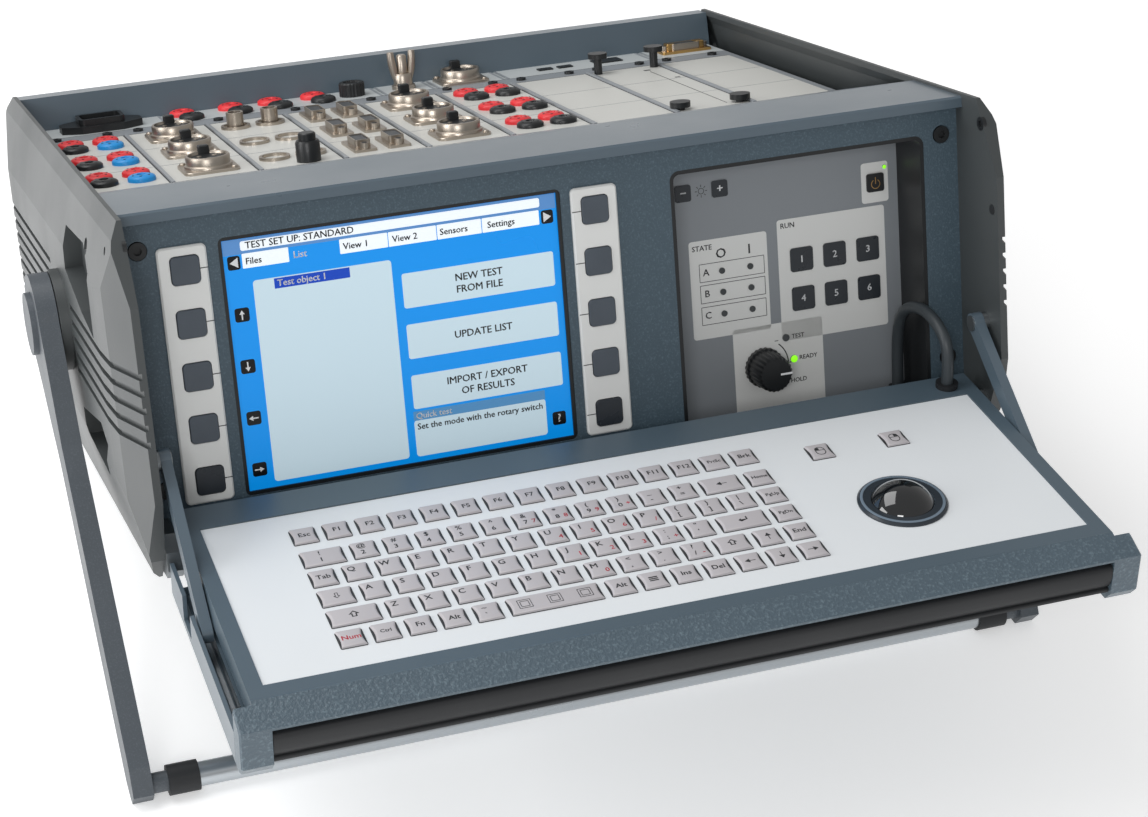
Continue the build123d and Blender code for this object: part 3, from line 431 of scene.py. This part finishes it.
# display picture
screen = {"left": -163.0, "top": 151.5, "face": 1.8}


def screenRects(rects):
    # left, top, right, bottom from the screen's top left corner
    rects = np.asarray(rects, float)
    a = screen["left"] + (rects[:, 0] + rects[:, 2]) / 2
    b = screen["top"] - (rects[:, 1] + rects[:, 3]) / 2
    return np.stack([a, b, (rects[:, 2] - rects[:, 0]) / 2, (rects[:, 3] - rects[:, 1]) / 2], 1)


def screenText(words):
    return [(text, screen["left"] + a, screen["top"] - b, size, align) for text, a, b, size, align in words]


glass = onPanel(screen["face"])
layers = [
    ("screen_header", [(0.4, 0.4, 162.0, 7.6)], 0.2, 0.03, "screenHeader"),
    ("screen_titles", [(8.7, 1.6, 154.1, 6.1)], 1.0, 0.08, "screenWhite"),
    ("screen_tabs", [(9.0, 7.5, 31.0, 14.5), (55.4, 7.5, 78.6, 14.5), (79.0, 7.5, 102.4, 14.5),
                     (102.8, 7.5, 124.6, 14.5), (125.0, 7.5, 153.4, 14.5)], 0.4, 0.06, "screenWhite"),
    ("screen_list", [(12.8, 20.8, 79.2, 119.2), (83.0, 101.0, 149.4, 119.2)], 1.6, 0.06, "screenPale"),
    ("screen_buttons", [(83.6, 28.4, 159.0, 45.4), (83.6, 53.4, 159.0, 70.4), (83.6, 78.6, 159.0, 95.4)], 1.2,
     0.12, "screenPale"),
    ("screen_choice", [(22.8, 21.3, 59.0, 26.2)], 0.2, 0.12, "screenNavy"),
    ("screen_heading", [(83.0, 96.6, 149.4, 101.2)], 0.2, 0.09, "screenSlate"),
    ("screen_keys", [(2.7, 32.9, 9.6, 39.6), (2.7, 57.9, 9.6, 64.6), (2.7, 83.2, 9.6, 89.9),
                     (2.7, 108.6, 9.6, 115.3), (152.4, 108.6, 159.2, 115.3), (2.0, 8.0, 8.0, 14.6),
                     (154.5, 8.0, 160.5, 14.6)], 1.2, 0.09,
     "screenBlack"),
]
for name, rects, corner, height, look in layers:
    addPiece(name, tiles(screenRects(rects), corner, height), glass, "case", materials[look])
screenWords = screenText([("TEST SET UP: STANDARD", 11.0, 3.9, 4.6, "LEFT"),
                          ("Files", 10.4, 11.4, 4.4, "LEFT"), ("View 1", 57.0, 11.2, 4.4, "LEFT"),
                          ("View 2", 80.8, 11.2, 4.4, "LEFT"), ("Sensors", 104.0, 11.2, 4.4, "LEFT"),
                          ("Settings", 127.5, 11.2, 4.4, "LEFT"),
                          ("Set the mode with the rotary switch", 84.4, 104.4, 4.3, "LEFT")])
addPiece("screen_words", lettering(screenWords), onPanel(screen["face"] - 0.1), "case", materials["darkInk"])
boldWords = screenText([("NEW TEST", 121.3, 34.2, 5.0, "CENTER"), ("FROM FILE", 121.3, 40.0, 5.0, "CENTER"),
                        ("UPDATE LIST", 121.3, 62.0, 5.0, "CENTER"),
                        ("IMPORT / EXPORT", 121.3, 84.2, 5.0, "CENTER"),
                        ("OF RESULTS", 121.3, 90.0, 5.0, "CENTER")])
addPiece("screen_bold_words", lettering(boldWords), onPanel(screen["face"] - 0.14), "case",
         materials["darkInk"])
lightWords = screenText([("List", 33.0, 11.6, 4.6, "LEFT"), ("Test object 1", 24.2, 23.8, 4.4, "LEFT"),
                         ("Quick test", 84.2, 99.0, 4.2, "LEFT"), ("?", 155.8, 112.0, 5.6, "CENTER")])
addPiece("screen_light_words", lettering(lightWords), onPanel(screen["face"] - 0.14), "case",
         materials["whiteInk"])
screenArrows = []
for a, b, turn, length, head, shaft in ((6.1, 36.3, 90, 4.6, 2.0, 0.32), (6.1, 61.3, 270, 4.6, 2.0, 0.32),
                                        (6.1, 86.6, 180, 4.6, 2.0, 0.32), (6.1, 112.0, 0, 4.6, 2.0, 0.32),
                                        (5.0, 11.3, 180, 4.0, 3.9, 0.05), (157.5, 11.3, 0, 4.0, 3.9, 0.05)):
    screenArrows.append(arrowMesh(screen["left"] + a, screen["top"] - b, turn, length, head, shaft, 0.14,
                                  0.08))
addPiece("screen_arrows", joined(*screenArrows), glass, "case", materials["whiteInk"])
print("display made")

# soft-key lead lines, from each key towards the display
keyLines = {"leftStart": -174.4, "leftEnd": -170.7, "rightStart": 6.0, "rightEnd": 10.6, "top": 141.2,
            "pitch": 25.4}
lineRects = []
for i in range(5):
    z = keyLines["top"] - keyLines["pitch"] * i
    for a0, a1 in ((keyLines["leftStart"], keyLines["leftEnd"]),
                   (keyLines["rightStart"], keyLines["rightEnd"])):
        lineRects.append(((a0 + a1) / 2, z, (a1 - a0) / 2, 0.22))
addPiece("softkey_lines", tiles(lineRects, 0.05, 0.03), onPanel(-2.0), "case", materials["darkInk"])

# control panel print
control = {"depth": 28.0}
foil = onPanel(control["depth"])
addPiece("control_plates", tiles([(96.0, 84.5, 21.0, 25.5), (152.4, 82.8, 29.6, 31.6),
                                  (120.5, 38.8, 24.6, 22.4), (177.5, 126.5, 7.4, 10.4)], 1.5, 0.1), foil,
         "case", materials["paleFoil"])
outline = []
for a, b, w, h in ((97.5, 93.2, 17.5, 4.6), (97.5, 82.2, 17.5, 4.6), (97.5, 70.9, 17.5, 4.6)):
    outline += [(a, b + h, w, 0.16), (a, b - h, w, 0.16), (a - w, b, 0.16, h), (a + w, b, 0.16, h)]
addPiece("control_outlines", tiles(outline, 0.05, 0.14), foil, "case", materials["darkInk"])
controlWords = [("A", 83.5, 93.2, 5.0, "CENTER"), ("B", 83.5, 82.2, 5.0, "CENTER"),
                ("C", 83.5, 70.9, 5.0, "CENTER"), ("STATE", 76.6, 106.0, 3.8, "LEFT"),
                ("RUN", 124.6, 111.0, 3.8, "LEFT"), ("I", 107.3, 102.0, 7.0, "CENTER"),
                ("O", 92.0, 102.0, 7.0, "CENTER"), ("TEST", 128.0, 53.0, 3.2, "LEFT"),
                ("READY", 131.6, 41.2, 3.2, "LEFT"), ("HOLD", 126.4, 29.6, 3.2, "LEFT")]
addPiece("control_words", lettering(controlWords, 0.06), onPanel(control["depth"] - 0.08), "case",
         materials["darkInk"])
keyWords = [(word, a, b, 5.0, "CENTER") for word, a, b in (("1", 135.4, 92.7), ("2", 153.6, 92.7),
                                                           ("3", 172.0, 92.7), ("4", 135.4, 72.3),
                                                           ("5", 153.6, 72.3), ("6", 172.0, 72.3))]
keyWords += [("−", 73.6, 135.2, 6.0, "CENTER"), ("+", 93.2, 135.2, 6.0, "CENTER")]
addPiece("control_key_words", lettering(keyWords, 0.06), onPanel(control["depth"] - 0.72), "case",
         materials["whiteInk"])


def ringMesh(a, b, inner, outer, start, end, height, base=0.0, steps=24):
    # flat bow between two radii, swept over an angle, with walls and ends
    angle = np.linspace(math.radians(start), math.radians(end), steps)
    corners = [(outer, base), (outer, height), (inner, height), (inner, base)]
    loops = np.stack([np.stack([a + r * np.cos(angle), b + r * np.sin(angle), np.full(steps, h)], -1)
                      for r, h in corners], 1)
    points = loops.reshape(-1, 3)
    quads = gridFaces(steps, 4)[:, ::-1].tolist()
    return points, quads + [[0, 1, 2, 3], [(steps - 1) * 4 + i for i in (3, 2, 1, 0)]]


arc = ringMesh(111.6, 39.5, 13.6, 14.2, -22, 50, 0.14)
ticks = tiles([(126.0, 39.6, 1.2, 0.2), (119.5, 52.0, 1.0, 0.2)], 0.05, 0.14)
power = ringMesh(177.5, 125.8, 2.1, 2.5, -240, 60, 1.24, 1.19)
powerLine = tiles([(177.5, 127.6, 0.22, 1.7)], 0.05, 1.24, 0.0, 1.19)
sun = ringMesh(83.4, 135.2, 1.3, 1.6, 0, 359.9, 0.06)
rays = tiles([(83.4 + r * math.cos(t), 135.2 + r * math.sin(t), 0.22,
               0.22) for t in np.arange(8) * math.pi / 4
              for r in (2.4, 3.0)], 0.1, 0.06)
addPiece("control_marks", joined(arc, ticks, sun, rays), foil, "case", materials["darkInk"])
addPiece("power_mark", joined(power, powerLine), foil, "power_button", materials["goldFlash"])
addPiece("ready_light", turned([(1.9, 0.0), (1.9, 0.9), (1.5, 1.4), (0.6, 1.7)], [(128.5, 41.2)]), foil,
         "case", materials["greenLens"])
addPiece("power_light", turned([(1.0, 0.0), (1.0, 0.7), (0.5, 1.0)], [(182.9, 133.9)]), foil, "case",
         materials["greenLens"])
knob = {"a": 111.6, "b": 39.5}
knobProfile = [(10.5, 0.8), (10.5, 3.4), (9.6, 4.6), (9.4, 15.8), (8.4, 17.4), (2.4, 17.6), (1.0, 17.6)]
addPiece("knob_cap", turned(knobProfile, [(knob["a"], knob["b"])], 96, 0.0, 24, 0.5), foil, "knob",
         materials["blackPolyamide"], ["rotary_knob"])
addPiece("knob_pointer", tiles([(knob["a"] + 5.4, knob["b"], 3.2, 0.5)], 0.2, 17.72, 0.0, 17.5), foil, "knob",
         materials["whiteInk"])
print("control panel made")

# keyboard
keyboard = {"left": -156.5, "pitch": 15.43, "width": 12.2, "right": 71.7, "plate": 7.45, "top": 16.1,
            "rise": 1.3}
keyRows = [(14.3, 12.2, 13, 1), (33.5, 20.0, 11, 1), (49.4, 12.2, 13, 1), (65.2, 16.0, 11, 1),
           (81.1, 23.3, 10, 2), (96.9, 12.2, 4, 7)]
keyNames = [
    ["Esc"] + ["F%d" % i for i in range(1, 13)] + ["PrtSc", "Brk"],
    list("!@#$%^&*()_+") + ["←", "Home"],
    ["Tab"] + list("QWERTYUIOP{}|") + ["PgUp"],
    ["⇩"] + list("ASDFGHJKL:\"") + ["↵", "PgDn"],
    ["⇧"] + list("ZXCVBNM<>?") + ["⇧", "↑", "End"],
    ["Num", "Ctrl", "Fn", "Alt", "~", "", "Alt", "☰", "Ins", "Del", "←", "↓", "→"],
]
lowerNames = [{}, {i: c for i, c in enumerate("1234567890-=")}, {11: "[", 12: "]", 13: "\\"},
              {10: ";", 11: "'"}, {8: ",", 9: ".", 10: "/"}, {4: "`"}]
padNames = [{}, {6: "7", 7: "8", 8: "9", 9: "*"}, {7: "4", 8: "5", 9: "6", 10: "/"},
            {7: "1", 8: "2", 9: "3", 10: "+"}, {7: "0", 10: "-"}, {}]


def keySpans():
    # left edge and width of each key, row by row
    gap = keyboard["pitch"] - keyboard["width"]
    spans = []
    for d, first, regular, trailing in keyRows:
        row = [(keyboard["left"], first)]
        x = keyboard["left"] + first + gap
        row += [(x + k * keyboard["pitch"], keyboard["width"]) for k in range(regular)]
        x += regular * keyboard["pitch"]
        end = keyboard["right"] - keyboard["width"] - (trailing - 1) * keyboard["pitch"]
        if end - x > keyboard["width"]:
            row.append((x, end - x - gap))
        row += [(end + k * keyboard["pitch"], keyboard["width"]) for k in range(trailing)]
        spans.append((d, row))
    return spans


def keyDomes(rects):
    # embossed foil domes; their left and right sides bow inwards by a cosine
    # and leave dark crescents of the print
    rects = np.asarray(rects, float)
    t = np.linspace(-1, 1, 9)
    loops = []
    for inset, level in ((0.0, 0.1), (0.12, 0.8), (0.6, 1.2), (1.2, keyboard["rise"])):
        bow = 0.32 + inset + 0.85 * np.cos(t * math.pi / 2)
        halfB = rects[:, 3:4] - 0.16 - inset * 0.6
        right = np.stack([rects[:, 2:3] - bow[None], halfB * t[None]], -1)
        left = np.stack([bow[None] - rects[:, 2:3], -halfB * t[None]], -1)
        rim = np.concatenate([right, left], 1) + rects[:, None, :2]
        loops.append(np.concatenate([rim, np.full(rim.shape[:2] + (1,), level)], -1))
    return stacked(np.stack(loops, 1), len(rects))


arrowTurns = {"→": 0, "↑": 90, "←": 180, "↓": 270}
keyRects, darkWords, redWords, keyArrows = [], [], [], []
for (d, row), names, lows, pads in zip(keySpans(), keyNames, lowerNames, padNames):
    middle = -keyboard["plate"] - d - keyboard["width"] / 2
    for i, (x, width) in enumerate(row):
        keyRects.append((x + width / 2, middle, width / 2, keyboard["width"] / 2))
        name = names[i]
        centre = x + width / 2
        if not name:
            continue
        if len(name) > 1:
            size = 4.4 if len(name) < 4 else 3.2
            (redWords if name == "Num" else darkWords).append((name, centre, middle, size, "CENTER"))
        elif i in lows:
            darkWords.append((name, centre - 1.2, middle + 2.6, 4.3, "CENTER"))
            darkWords.append((lows[i], centre - 1.2, middle - 2.5, 4.3, "CENTER"))
        elif name.isalpha():
            darkWords.append((name, x + 3.9, middle + 2.0, 4.8, "CENTER"))
        elif name in arrowTurns:
            keyArrows.append(arrowMesh(centre, middle, arrowTurns[name], 5.2, 2.4, 0.18, 0.06))
        else:
            darkWords.append((name, centre, middle, 5.5, "CENTER"))
        if i in pads:
            redWords.append((pads[i], centre + 2.8, middle - 2.4, 4.2, "CENTER"))
mouseKeys = []
for x in (96.2, 135.2):
    middle = -keyboard["plate"] - 21.2 - keyboard["width"] / 2
    keyRects.append((x + keyboard["width"] / 2, middle, keyboard["width"] / 2, keyboard["width"] / 2))
    mouseKeys.append((x + keyboard["width"] / 2, middle))
tray = onTray(keyboard["top"])
addPiece("key_domes", keyDomes(keyRects), tray, "lid", materials["keyFoil"], ["keyboard_keys"], 50)
# dark tile under each key: printed dark crescents where the dome sides bow in, and painted shade as a thin
# outline round each key's foot
addPiece("key_print_and_shade", tiles(keyRects, 0.7, 0.3), tray, "lid", materials["darkInk"])
keyTop = onTray(keyboard["top"] + keyboard["rise"])
addPiece("key_words", lettering(darkWords), keyTop, "lid", materials["darkInk"])
addPiece("key_pad_words", lettering(redWords), keyTop, "lid", materials["redInk"])
mouseMarks = []
for (a, b), left in zip(mouseKeys, (True, False)):
    mouseMarks.append(ringMesh(a, b + 0.6, 2.1, 2.5, 0, 180, 0.06))
    mouseMarks.append(ringMesh(a, b - 1.2, 2.1, 2.5, 180, 360, 0.06))
    mouseMarks.append(tiles([(a - 2.3, b - 0.3, 0.2, 0.95), (a + 2.3, b - 0.3, 0.2, 0.95),
                             (a, b + 0.2, 2.3, 0.18), (a + (-1.1 if left else 1.1), b + 1.5, 0.9, 0.9)], 0.1,
                            0.06))
spaceRow = keyRects[sum(len(r) for _, r in keySpans()[:5]) + 5]
for shift in (-14.0, 0.0, 14.0):
    a, b = spaceRow[0] + shift, spaceRow[1]
    for half in (3.0, 1.9):
        mouseMarks.append(tiles([(a, b + half, half, 0.15), (a, b - half, half, 0.15),
                                 (a - half, b, 0.15, half), (a + half, b, 0.15, half)], 0.05, 0.06))
addPiece("key_marks", joined(*mouseMarks, *keyArrows), keyTop, "lid", materials["darkInk"])
print("keyboard made")

# tray trim: bulged rubber bumper, bright channel strips, ball ring band
# bumper outline of distance from the hinge and height out of the tray, from the top round to the back
bumperLine = np.array([(150.4, 9.2), (150.9, 8.0), (151.4, 7.6), (152.6, 7.3), (153.5, 6.4), (153.95, 4.8),
                       (154.0, 2.6), (153.7, -0.2), (153.0, -2.6), (152.0, -4.0), (151.2, -4.5),
                       (151.2, -5.2), (152.2, -5.6), (152.5, -6.3), (152.3, -7.3), (150.2, -7.4),
                       (150.2, 9.2)])
ends = np.array([-195.7, 195.7])
bumperLoops = np.stack([np.stack([np.full(len(bumperLine), x), -bumperLine[:, 0], bumperLine[:, 1]],
                                 -1) for x in ends])
bumperMesh = stacked(bumperLoops[None], 1)
addPiece("bumper_bulge", bumperMesh, onTray(0.0), "lid", materials["blackRubber"], ["bumper_strip"],
         50)
strips = tiles([(s * x, -80.0, 0.9, 60.0) for s in (-1, 1) for x in (203.2, 206.6)], 0.2, 0.7)
addPiece("channel_strips", strips, onTray(-10.45), "lid", materials["anodisedAluminium"])
ballRing = {"a": 121.4, "b": -86.45}
addPiece("ball_ring_band", turned([(20.0, 1.2), (19.9, 1.72), (19.2, 1.95), (18.6, 1.9), (18.4, 1.2)],
                                  [(ballRing["a"], ballRing["b"])], 64), onTray(keyboard["top"]), "lid",
         materials["ringBand"])

# sockets of the connector bay
bay = {"floor": 153.0, "back": 287.0, "row": 50.0}
bayEdges = [-204.5, -159.5, -113.5, -68.5, -23.7, 22.2, 67.5, 114.7, 158.9, 204.5]
top = onBay(bay["floor"])


def span(index):
    left = bayEdges[index] + (0.9 if index else 0) + 0.3
    right = bayEdges[index + 1] - (0.9 if index < 8 else 0) - 0.3
    return left, right


redPlaces, blackPlaces, bluePlaces = [], [], []
for row in range(3):
    y = bay["back"] - bay["row"] * row - 14.5
    left, right = span(0)
    redPlaces += [(left + 12.0, y), (right - 12.2, y)]
    blackPlaces.append((left + 12.4, y - 15.5))
    bluePlaces.append((right - 11.8, y - 15.5))
    left, right = span(5)
    redPlaces += [(left + 12.0, y), (right - 12.2, y)]
    blackPlaces += [(left + 14.0, y - 15.1), (right - 10.2, y - 15.1)]
for x in (-118.5, -90.0, -66.5, -41.0):
    redPlaces.append((x - 1.5, 326.2))
    blackPlaces.append((x + 1.5, 311.4))
# safety socket: a low dome round the 4 mm hole, with slots round it
socketProfile = [(7.3, 0.0), (7.3, 1.5), (7.1, 2.0), (6.5, 2.55), (5.6, 2.95), (4.4, 3.25), (3.0, 3.38),
                 (2.5, 3.3), (2.3, 3.0), (2.2, 0.6)]
addPiece("red_socket_caps", turned(socketProfile, redPlaces), top, "case", materials["redPolyamide"],
         ["sockets_red"])
addPiece("blue_socket_caps", turned(socketProfile, bluePlaces), top, "case", materials["bluePolyamide"],
         ["sockets_blue"])
fuse = turned([(7.5, 0.0), (7.5, 7.2), (6.9, 8.0), (5.0, 8.0), (4.8, 7.0), (1.0, 7.0)], [(-20.5, 318.0)], 48,
              0, 24, 0.35)
capped = turned([(6.4, 0.0), (6.4, 9.8), (5.8, 11.0), (4.6, 11.2), (4.6, 14.4), (4.0, 15.0), (1.0, 15.0)],
                [(-86.5, 148.0)], 32)
addPiece("black_socket_caps", joined(turned(socketProfile, blackPlaces), fuse, capped), top, "case",
         materials["blackPolyamide"], ["sockets_black"])
# painted shade: small dark discs on each socket dome stand for the shade inside its slots
pits = [(x + 4.5 * math.cos(t), y + 4.5 * math.sin(t)) for x, y in redPlaces + blackPlaces + bluePlaces
        for t in np.arange(6) * math.pi / 3 + 0.3]
addPiece("socket_slot_shade", turned([(0.75, 2.8), (0.75, 3.26), (0.1, 3.26)], pits, 10), top, "case",
         materials["darkInk"])

roundPlaces = [((span(m)[0] + span(m)[1]) / 2, bay["back"] - bay["row"] * r - 24.0)
               for m in (1, 4) for r in range(3)]
roundPlaces.append((46.0, 319.0))
flanges = tiles([(x, y, 14.5, 14.0) for x, y in roundPlaces], 4.0, 1.6, 0.4)
shells = turned([(12.6, 1.6), (12.4, 2.6), (11.6, 3.2), (11.6, 6.8), (11.1, 7.6), (10.2, 7.6), (9.8, 7.0),
                 (9.6, 2.6), (1.0, 2.6)], roundPlaces, 40)
flangeScrews = turned([(1.7, 1.5), (1.7, 2.1), (1.2, 2.5), (0.3, 2.5)],
                      [(x + s * 11.6, y + t * 11.2) for x, y in roundPlaces for s, t in ((-1, 1), (1, -1))],
                      12)
addPiece("round_socket_shells", joined(flanges, shells, flangeScrews), top, "case", materials["nickelPlate"],
         ["round_sockets"])
inserts = turned([(9.5, 2.5), (9.5, 5.9), (9.2, 6.3), (1.0, 6.3)], roundPlaces, 32)
latches = tiles([(x, y + 10.6, 3.0, 2.2) for x, y in roundPlaces], 0.8, 10.8, 0.6, 5.2)
addPiece("round_socket_inserts", joined(inserts, latches), top, "case", materials["blackPolyamide"])
pins = turned([(1.3, 6.2), (1.3, 6.6), (0.8, 6.7)], [(x + 4.6 * math.cos(t), y + 4.6 * math.sin(t))
                                                    for x,
                                                     y in roundPlaces for t in np.arange(3) * 2.1 + 0.5], 12)
addPiece("round_socket_pins", pins, top, "case", materials["nickelPlate"])
left, right = span(3)
dPlaces = [(x, bay["back"] - bay["row"] * r - 22.0) for r in range(3) for x in (left + 12.0, right - 12.0)]
dInserts = joined(tiles([(x, y, 3.5, 8.2) for x, y in dPlaces], 1.0, 5.1, 0.0, 3.9),
                  tiles([(188.0, 319.5, 8.2, 3.5)], 1.0, 5.1, 0.0, 3.9))
addPiece("d_socket_inserts", dInserts, top, "case", materials["darkAbs"])
# painted shade: dark discs beside each D socket stand for the shade inside its jack-screw holes
dHoleShade = turned([(1.5, 4.5), (1.5, 4.75), (0.4, 4.75)], [(x, y + s * 12.4) for x,
                                                         y in dPlaces for s in (-1, 1)], 12)
addPiece("d_socket_jack_hole_shade", dHoleShade, top, "case", materials["darkInk"])
goldShell = joined(tiles([(188.0, 319.5, 15.6, 6.4)], 1.2, 1.6, 0.3),
                   tiles([(178.6, 319.5, 2.6, 3.6), (197.4, 319.5, 2.6, 3.6)],
                                                                        0.8, 5.8, 0.4, 1.5))
addPiece("gold_d_shell", goldShell, top, "case", materials["goldFlash"])

# plate marks: painted shade as dark lines along both sides of each divider and across the back of the bay,
# then row lines and small marks
lines = []
for i, edge in enumerate(bayEdges[1:-1]):
    lines += [(edge - 1.25, 212.0, 0.28, 74.8), (edge + 1.25, 212.0, 0.28, 74.8)]
lines += [(0.0, 287.2, 204.3, 0.3), (0.0, 303.8, 204.3, 0.22)]
addPiece("bay_shadow_lines", tiles(lines, 0.1, 0.06), top, "case", materials["darkInk"])
rowLines = []
for i in range(9):
    a, b = span(i)
    rowLines += [((a + b) / 2, y, (b - a) / 2 - 0.6, 0.22) for y in (237.0, 187.0)]
bands = [(x + d, 319.0, 0.8, 14.6) for x in (-131.0, -4.5, 27.0, 70.0, 163.0) for d in (-1.6, 1.6)]
addPiece("bay_row_lines", tiles(rowLines + bands, 0.1, 0.05), top, "case", materials["railEnamel"])
left, right = span(7)
moduleMarks = [(left + 31.0, 273.0, 2.0, 1.4), (left + 31.0, 208.0, 0.25, 60.0),
               (left + 37.5, 240.0, 1.6, 1.0)]
addPiece("module_marks", tiles(moduleMarks, 0.2, 0.06), top, "case", materials["darkInk"])

# earth terminal: chromed post with a wing nut whose two wings sweep up and outwards
earth = {"a": 11.0, "b": 319.0}
post = turned([(7.0, 0.0), (7.0, 2.0), (6.4, 2.5), (5.6, 2.5), (5.6, 7.6), (4.8, 9.2), (2.9, 9.6),
               (2.9, 19.2), (2.2, 20.0)],
              [(earth["a"], earth["b"])], 32)
rise = np.linspace(0, 1, 10)
wings = []
for side in (-1, 1):
    # the wing's middle line: out = 4 + 4.6 r - 2.2 r^2, up = 6 + 16 r
    line = np.stack([earth["a"] + side * (4.0 + 4.6 * rise - 2.2 * rise ** 2), np.full(10, earth["b"]),
                     6 + 16 * rise], 1)
    wings.append(tube(line, 1.9 + 0.5 * np.sin(rise * math.pi), 14))
addPiece("earth_post", joined(post, *wings), top, "case", materials["nickelPlate"],
         ["earth_terminal"], 50)
print("sockets made")

# keyboard cable: one open spline from the recess floor to the tray, as a tube
cable = {"gland": (183.0, 21.0, 17.5), "trayX": 187.5, "trayB": 2.0, "trayTop": 16.7, "radius": 3.0}
glandX, glandY, glandZ = cable["gland"]
caseRoute = np.array([(glandX, glandY, glandZ), (glandX, glandY, glandZ + 26),
                      (glandX + 0.6, glandY - 7, glandZ + 45), (glandX + 2.4, glandY - 26, glandZ + 50),
                      (glandX + 4.0, glandY - 42, glandZ + 44)])
trayEnds = onTray(cable["trayTop"])(np.array([(cable["trayX"], cable["trayB"], 20.0),
                                              (cable["trayX"], cable["trayB"], 0.0)]))
route = np.concatenate([inCase(caseRoute), trayEnds])
spline = bpy.data.curves.new("cable_line", "CURVE")
spline.dimensions = "3D"
line = spline.splines.new("NURBS")
line.points.add(len(route) - 1)
line.points.foreach_set("co", np.concatenate([route, np.ones((len(route), 1))], 1).ravel())
line.order_u = 3
line.use_endpoint_u = True
line.resolution_u = 12
holder = bpy.data.objects.new("cable_line", spline)
bpy.context.collection.objects.link(holder)
bpy.context.view_layer.update()
lineMesh = bpy.data.meshes.new_from_object(holder.evaluated_get(bpy.context.evaluated_depsgraph_get()))
cablePath = np.empty(len(lineMesh.vertices) * 3)
lineMesh.vertices.foreach_get("co", cablePath)
cablePath = cablePath.reshape(-1, 3)
bpy.data.objects.remove(holder)
cablePiece = addPiece("keyboard_lead", tube(cablePath, cable["radius"] * mm, 20), None, None,
                      materials["cableSheath"], ["keyboard_cable"])
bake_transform(cablePiece)

# camera, floor and light
view = {"place": (-366.9, -1163.9, 421.7), "forward": (0.27754, 0.91468, -0.29382),
        "up": (0.16088, 0.25726, 0.95286), "lens": 82.08, "shiftX": 0.02395, "shiftY": -0.0032}


def turnToFrame(direction):
    return Vector(np.asarray(direction, float) @ caseAxes)


camera = bpy.data.objects.new("camera", bpy.data.cameras.new("camera"))
bpy.context.collection.objects.link(camera)
forward = turnToFrame(view["forward"]).normalized()
right = forward.cross(turnToFrame(view["up"])).normalized()
upward = right.cross(forward)
camera.matrix_world = Matrix.Translation(Vector(inCase([view["place"]])[0])) @ Matrix(
    (right, upward, -forward)).transposed().to_4x4()
camera.data.sensor_width = 36
camera.data.lens = view["lens"]
camera.data.shift_x = view["shiftX"]
camera.data.shift_y = view["shiftY"]
bpy.context.scene.camera = camera

# paper sweep, lit from behind so that it stays near white under the soft lights
floorMaterial = surface("paleFloor", {"colour": "#f4f4f4", "rough": 0.8, "spread": 0.005, "drift": 500,
                                      "grain": 2.0, "glow": 0.42})
floorPoints, floorFaces = tiles([(0.0, 0.0, 5000.0, 5000.0)], 20.0, -0.2, 0.0, -8.0)
floorData = bpy.data.meshes.new("floor")
floorData.from_pydata((floorPoints * mm).tolist(), [], floorFaces)
floorData.materials.append(floorMaterial)
floor = bpy.data.objects.new("floor", floorData)
bpy.context.collection.objects.link(floor)


def softbox(name, place, aim, size, power):
    lamp = bpy.data.lights.new(name, "AREA")
    lamp.shape = "RECTANGLE"
    lamp.size, lamp.size_y = size
    lamp.energy = power
    box = bpy.data.objects.new(name, lamp)
    bpy.context.collection.objects.link(box)
    box.location = place
    box.rotation_euler = (Vector(aim) - Vector(place)).to_track_quat("-Z", "Y").to_euler()


softbox("top_softbox", (-0.7, 0.5, 1.6), (0.0, 0.05, 0.1), (1.5, 1.0), 15)
softbox("front_softbox", (-0.9, -1.9, 1.3), (0.0, -0.05, 0.12), (0.7, 0.5), 13)
softbox("left_softbox", (-1.9, 0.0, 0.8), (-0.1, 0.0, 0.12), (1.0, 0.9), 15)
world = bpy.data.worlds.new("studio")
world.use_nodes = True
world.node_tree.nodes["Background"].inputs["Color"].default_value = linear("#f9f9f9")
world.node_tree.nodes["Background"].inputs["Strength"].default_value = 0.42
bpy.context.scene.world = world
bpy.context.scene.view_settings.view_transform = "Standard"
